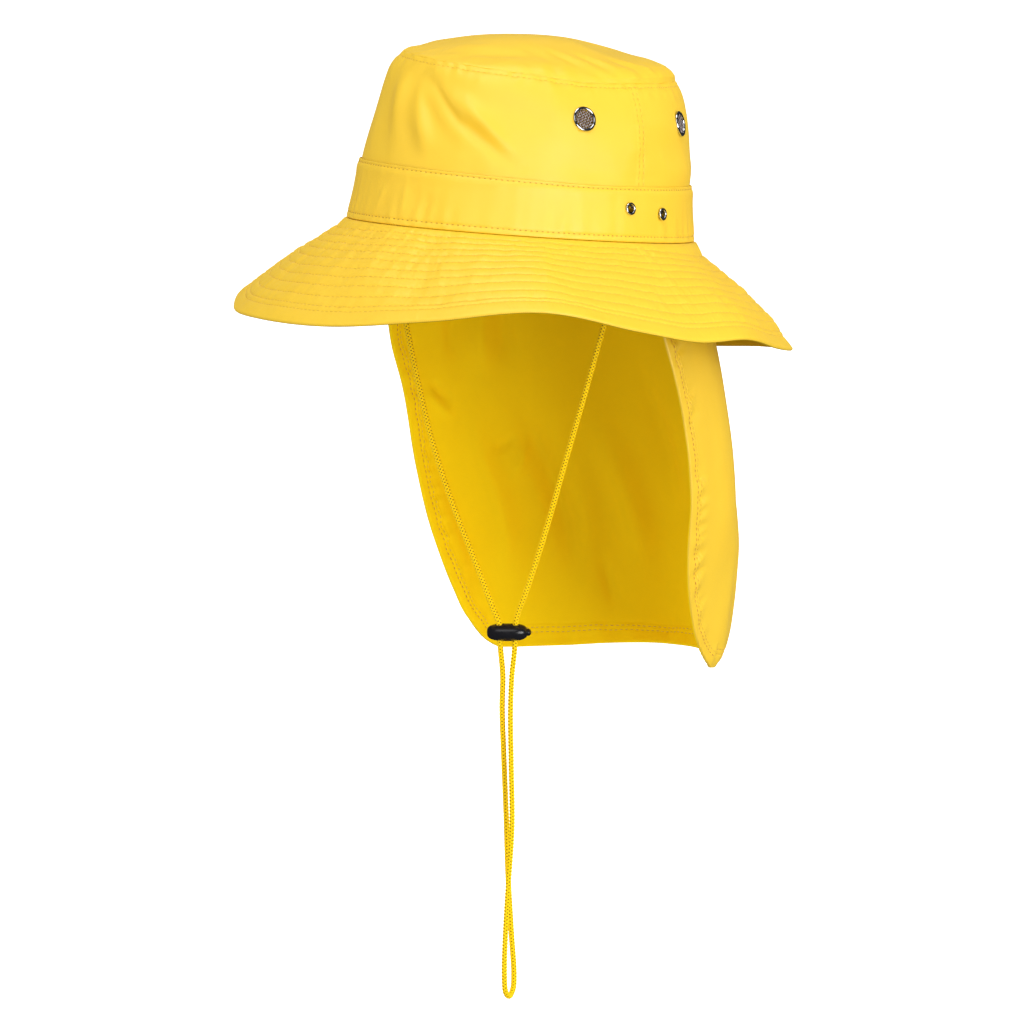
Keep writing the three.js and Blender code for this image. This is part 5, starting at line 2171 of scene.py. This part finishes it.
# Camera, light and floor


@dataclass
class Studio:
    """The camera at the photograph's angle, soft light, and a plain pale floor."""

    target: tuple[float, float, float] = (0.01284, -0.02279, -0.1493)
    back: tuple[float, float, float] = (0.6335, -0.7549, 0.1697)
    right: tuple[float, float, float] = (0.766, 0.6428, 0.0)
    up: tuple[float, float, float] = (-0.1091, 0.13, 0.9855)
    distance: float = 4.0
    view_degrees: float = 7.84
    floor_height: float = -0.4245
    floor_reach: float = 60
    azimuth: float = 40
    light_distance: float = 2.6
    light_size: float = 1.5
    # name, degrees to the right of the camera and above the hat, watts, and whether gloss mirrors it
    lights: tuple[tuple[str, float, float, float, bool], ...] = (
        ("key", 34, 4, 35.5, True),
        ("fill", -6, 38, 8, True),
        ("top", 0, 82, 18, True),
        ("right", 82, 14, 15, False),
        ("left", -76, 18, 17, False),
        ("behind", 180, 30, 12, False),
    )

    def camera(self) -> None:
        """Makes the camera and turns it to the hat."""
        data = bpy.data.cameras.new("camera")
        data.sensor_fit = "HORIZONTAL"
        data.angle = math.radians(self.view_degrees)
        data.clip_end = 100
        camera = linked("camera", data)
        right, up, back = (Vector(axis).normalized() for axis in (self.right, self.up, self.back))
        turn = Matrix((right, up, back)).transposed().to_4x4()
        camera.matrix_world = Matrix.Translation(Vector(self.target) + back * self.distance) @ turn
        bpy.context.scene.camera = camera
        bpy.context.scene.view_settings.view_transform = "Standard"

    def light(self, name: str, right: float, height: float, watts: float, in_gloss: bool) -> None:
        """Adds a soft round light that faces the hat.

        Args:
            name: the light's name.
            right: how far to the right of the camera it stands, in degrees round the hat.
            height: how far above the hat's level it stands, in degrees.
            watts: its power.
            in_gloss: whether metal and gloss mirror it.
        """
        data = bpy.data.lights.new(name, "AREA")
        data.shape = "DISK"
        data.size = self.light_size
        data.energy = watts
        light = linked(name, data)
        turn, above = math.radians(self.azimuth + right), math.radians(height)
        aim = Vector((math.sin(turn) * math.cos(above), -math.cos(turn) * math.cos(above), math.sin(above)))
        light.location = aim * self.light_distance + Vector((0, 0, -0.1))
        light.rotation_euler = aim.to_track_quat("Z", "Y").to_euler()
        light.visible_glossy = in_gloss

    def sky(self) -> None:
        """A white surround, a little darker below, that metal and gloss see much darker."""
        world = bpy.data.worlds.new("surround")
        bpy.context.scene.world = world
        world.use_nodes = True
        nodes = NodeWriter(world.node_tree)
        background = next(node for node in world.node_tree.nodes if node.type == "BACKGROUND")
        direction = nodes.add("ShaderNodeTexCoord").outputs["Generated"]
        split = nodes.add("ShaderNodeSeparateXYZ", {"Vector": direction}).outputs
        path = nodes.add("ShaderNodeLightPath").outputs
        level = nodes.spread(split["Z"], 0.61, 0.72, -0.1, 0.1)
        strength = nodes.maths("MULTIPLY", level, nodes.spread(path["Is Glossy Ray"], 1.0, 0.05))
        seen = nodes.maths("MAXIMUM", strength, path["Is Camera Ray"])
        background.inputs["Color"].default_value = (1, 1, 1, 1)
        nodes.tree.links.new(seen, background.inputs["Strength"])

    def floor(self) -> None:
        """A plain pale floor under the loop of the cord."""
        mesh = bpy.data.meshes.new("studio_floor")
        reach, level = self.floor_reach, self.floor_height
        corners = [(x * reach, y * reach, level) for x, y in ((-1, -1), (1, -1), (1, 1), (-1, 1))]
        mesh.from_pydata(corners, [], [(0, 1, 2, 3)])
        floor = linked("studio_floor", mesh)
        plain = {
            "Base Color": (0.9, 0.9, 0.9, 1),
            "Roughness": 0.9,
            "Emission Color": (1, 1, 1, 1),
            "Emission Strength": 0.8,
        }
        mesh.materials.append(ShaderWriter("studio_floor", plain).material)
        floor.visible_diffuse = False
        floor.visible_glossy = False
        floor.visible_shadow = False

    def build(self) -> None:
        """Makes the lights, the surround and the floor."""
        for light in self.lights:
            self.light(*light)
        self.sky()
        self.floor()


def main() -> None:
    """Builds the hat piece by piece, and its studio."""
    logging.basicConfig(level=logging.INFO, format="%(message)s")
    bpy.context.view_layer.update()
    studio = Studio()
    studio.camera()
    lock = CordLock().build(MouldedPlastic())
    ChinCord().build(BraidYarn(), lock)
    pattern = StitchPattern()
    # The yellow threads are darker than the cloth: painted shade of the small dark dots that rows of stitches
    # show, darker still in the band. The orange thread's colour is its own.
    plain = Needle(pattern, Thread((0.8, 0.5, 0.018), (0.6, 0.33, 0.01)).material("yellow_thread"))
    bright = Needle(pattern, Thread((0.66, 0.26, 0.014), (0.42, 0.13, 0.008)).material("orange_thread"))
    shade_dotted = Needle(pattern, Thread((0.62, 0.36, 0.006), (0.44, 0.22, 0.003)).material("shade_dot_thread"))
    trim = Trim()
    vent_holes = trim.holes(trim.vents, trim.vent_hole)
    eyelet_holes = trim.holes(trim.eyelets, trim.eyelet_hole)
    # The inner faces of the band, crown and brim are coloured darker than their outer faces: painted shade
    # under the brim and inside the crown.
    painted_shade_back = (0.5, 0.32, 0.003)
    HatBand().build(CottonCloth(back=painted_shade_back), shade_dotted, eyelet_holes)
    Crown().build(CottonCloth(back=painted_shade_back), plain, vent_holes + eyelet_holes)
    Brim().build(CottonCloth(back=painted_shade_back, wrinkle=0.36), plain)
    # The flap's inner face is coloured lighter than its outer face: painted light inside the flap, which the
    # lights reach too little.
    NeckFlap().build(CottonCloth(back=(1.0, 0.68, 0.003)), plain, bright)
    chrome = Metal((0.8, 0.81, 0.84), (0.6, 0.61, 0.64), 0.05, 0.14)
    wire = Metal((0.82, 0.74, 0.73), (0.5, 0.44, 0.43), 0.36, 0.58)
    trim.build(chrome, wire)
    studio.build()


if __name__ == "__main__":
    main()
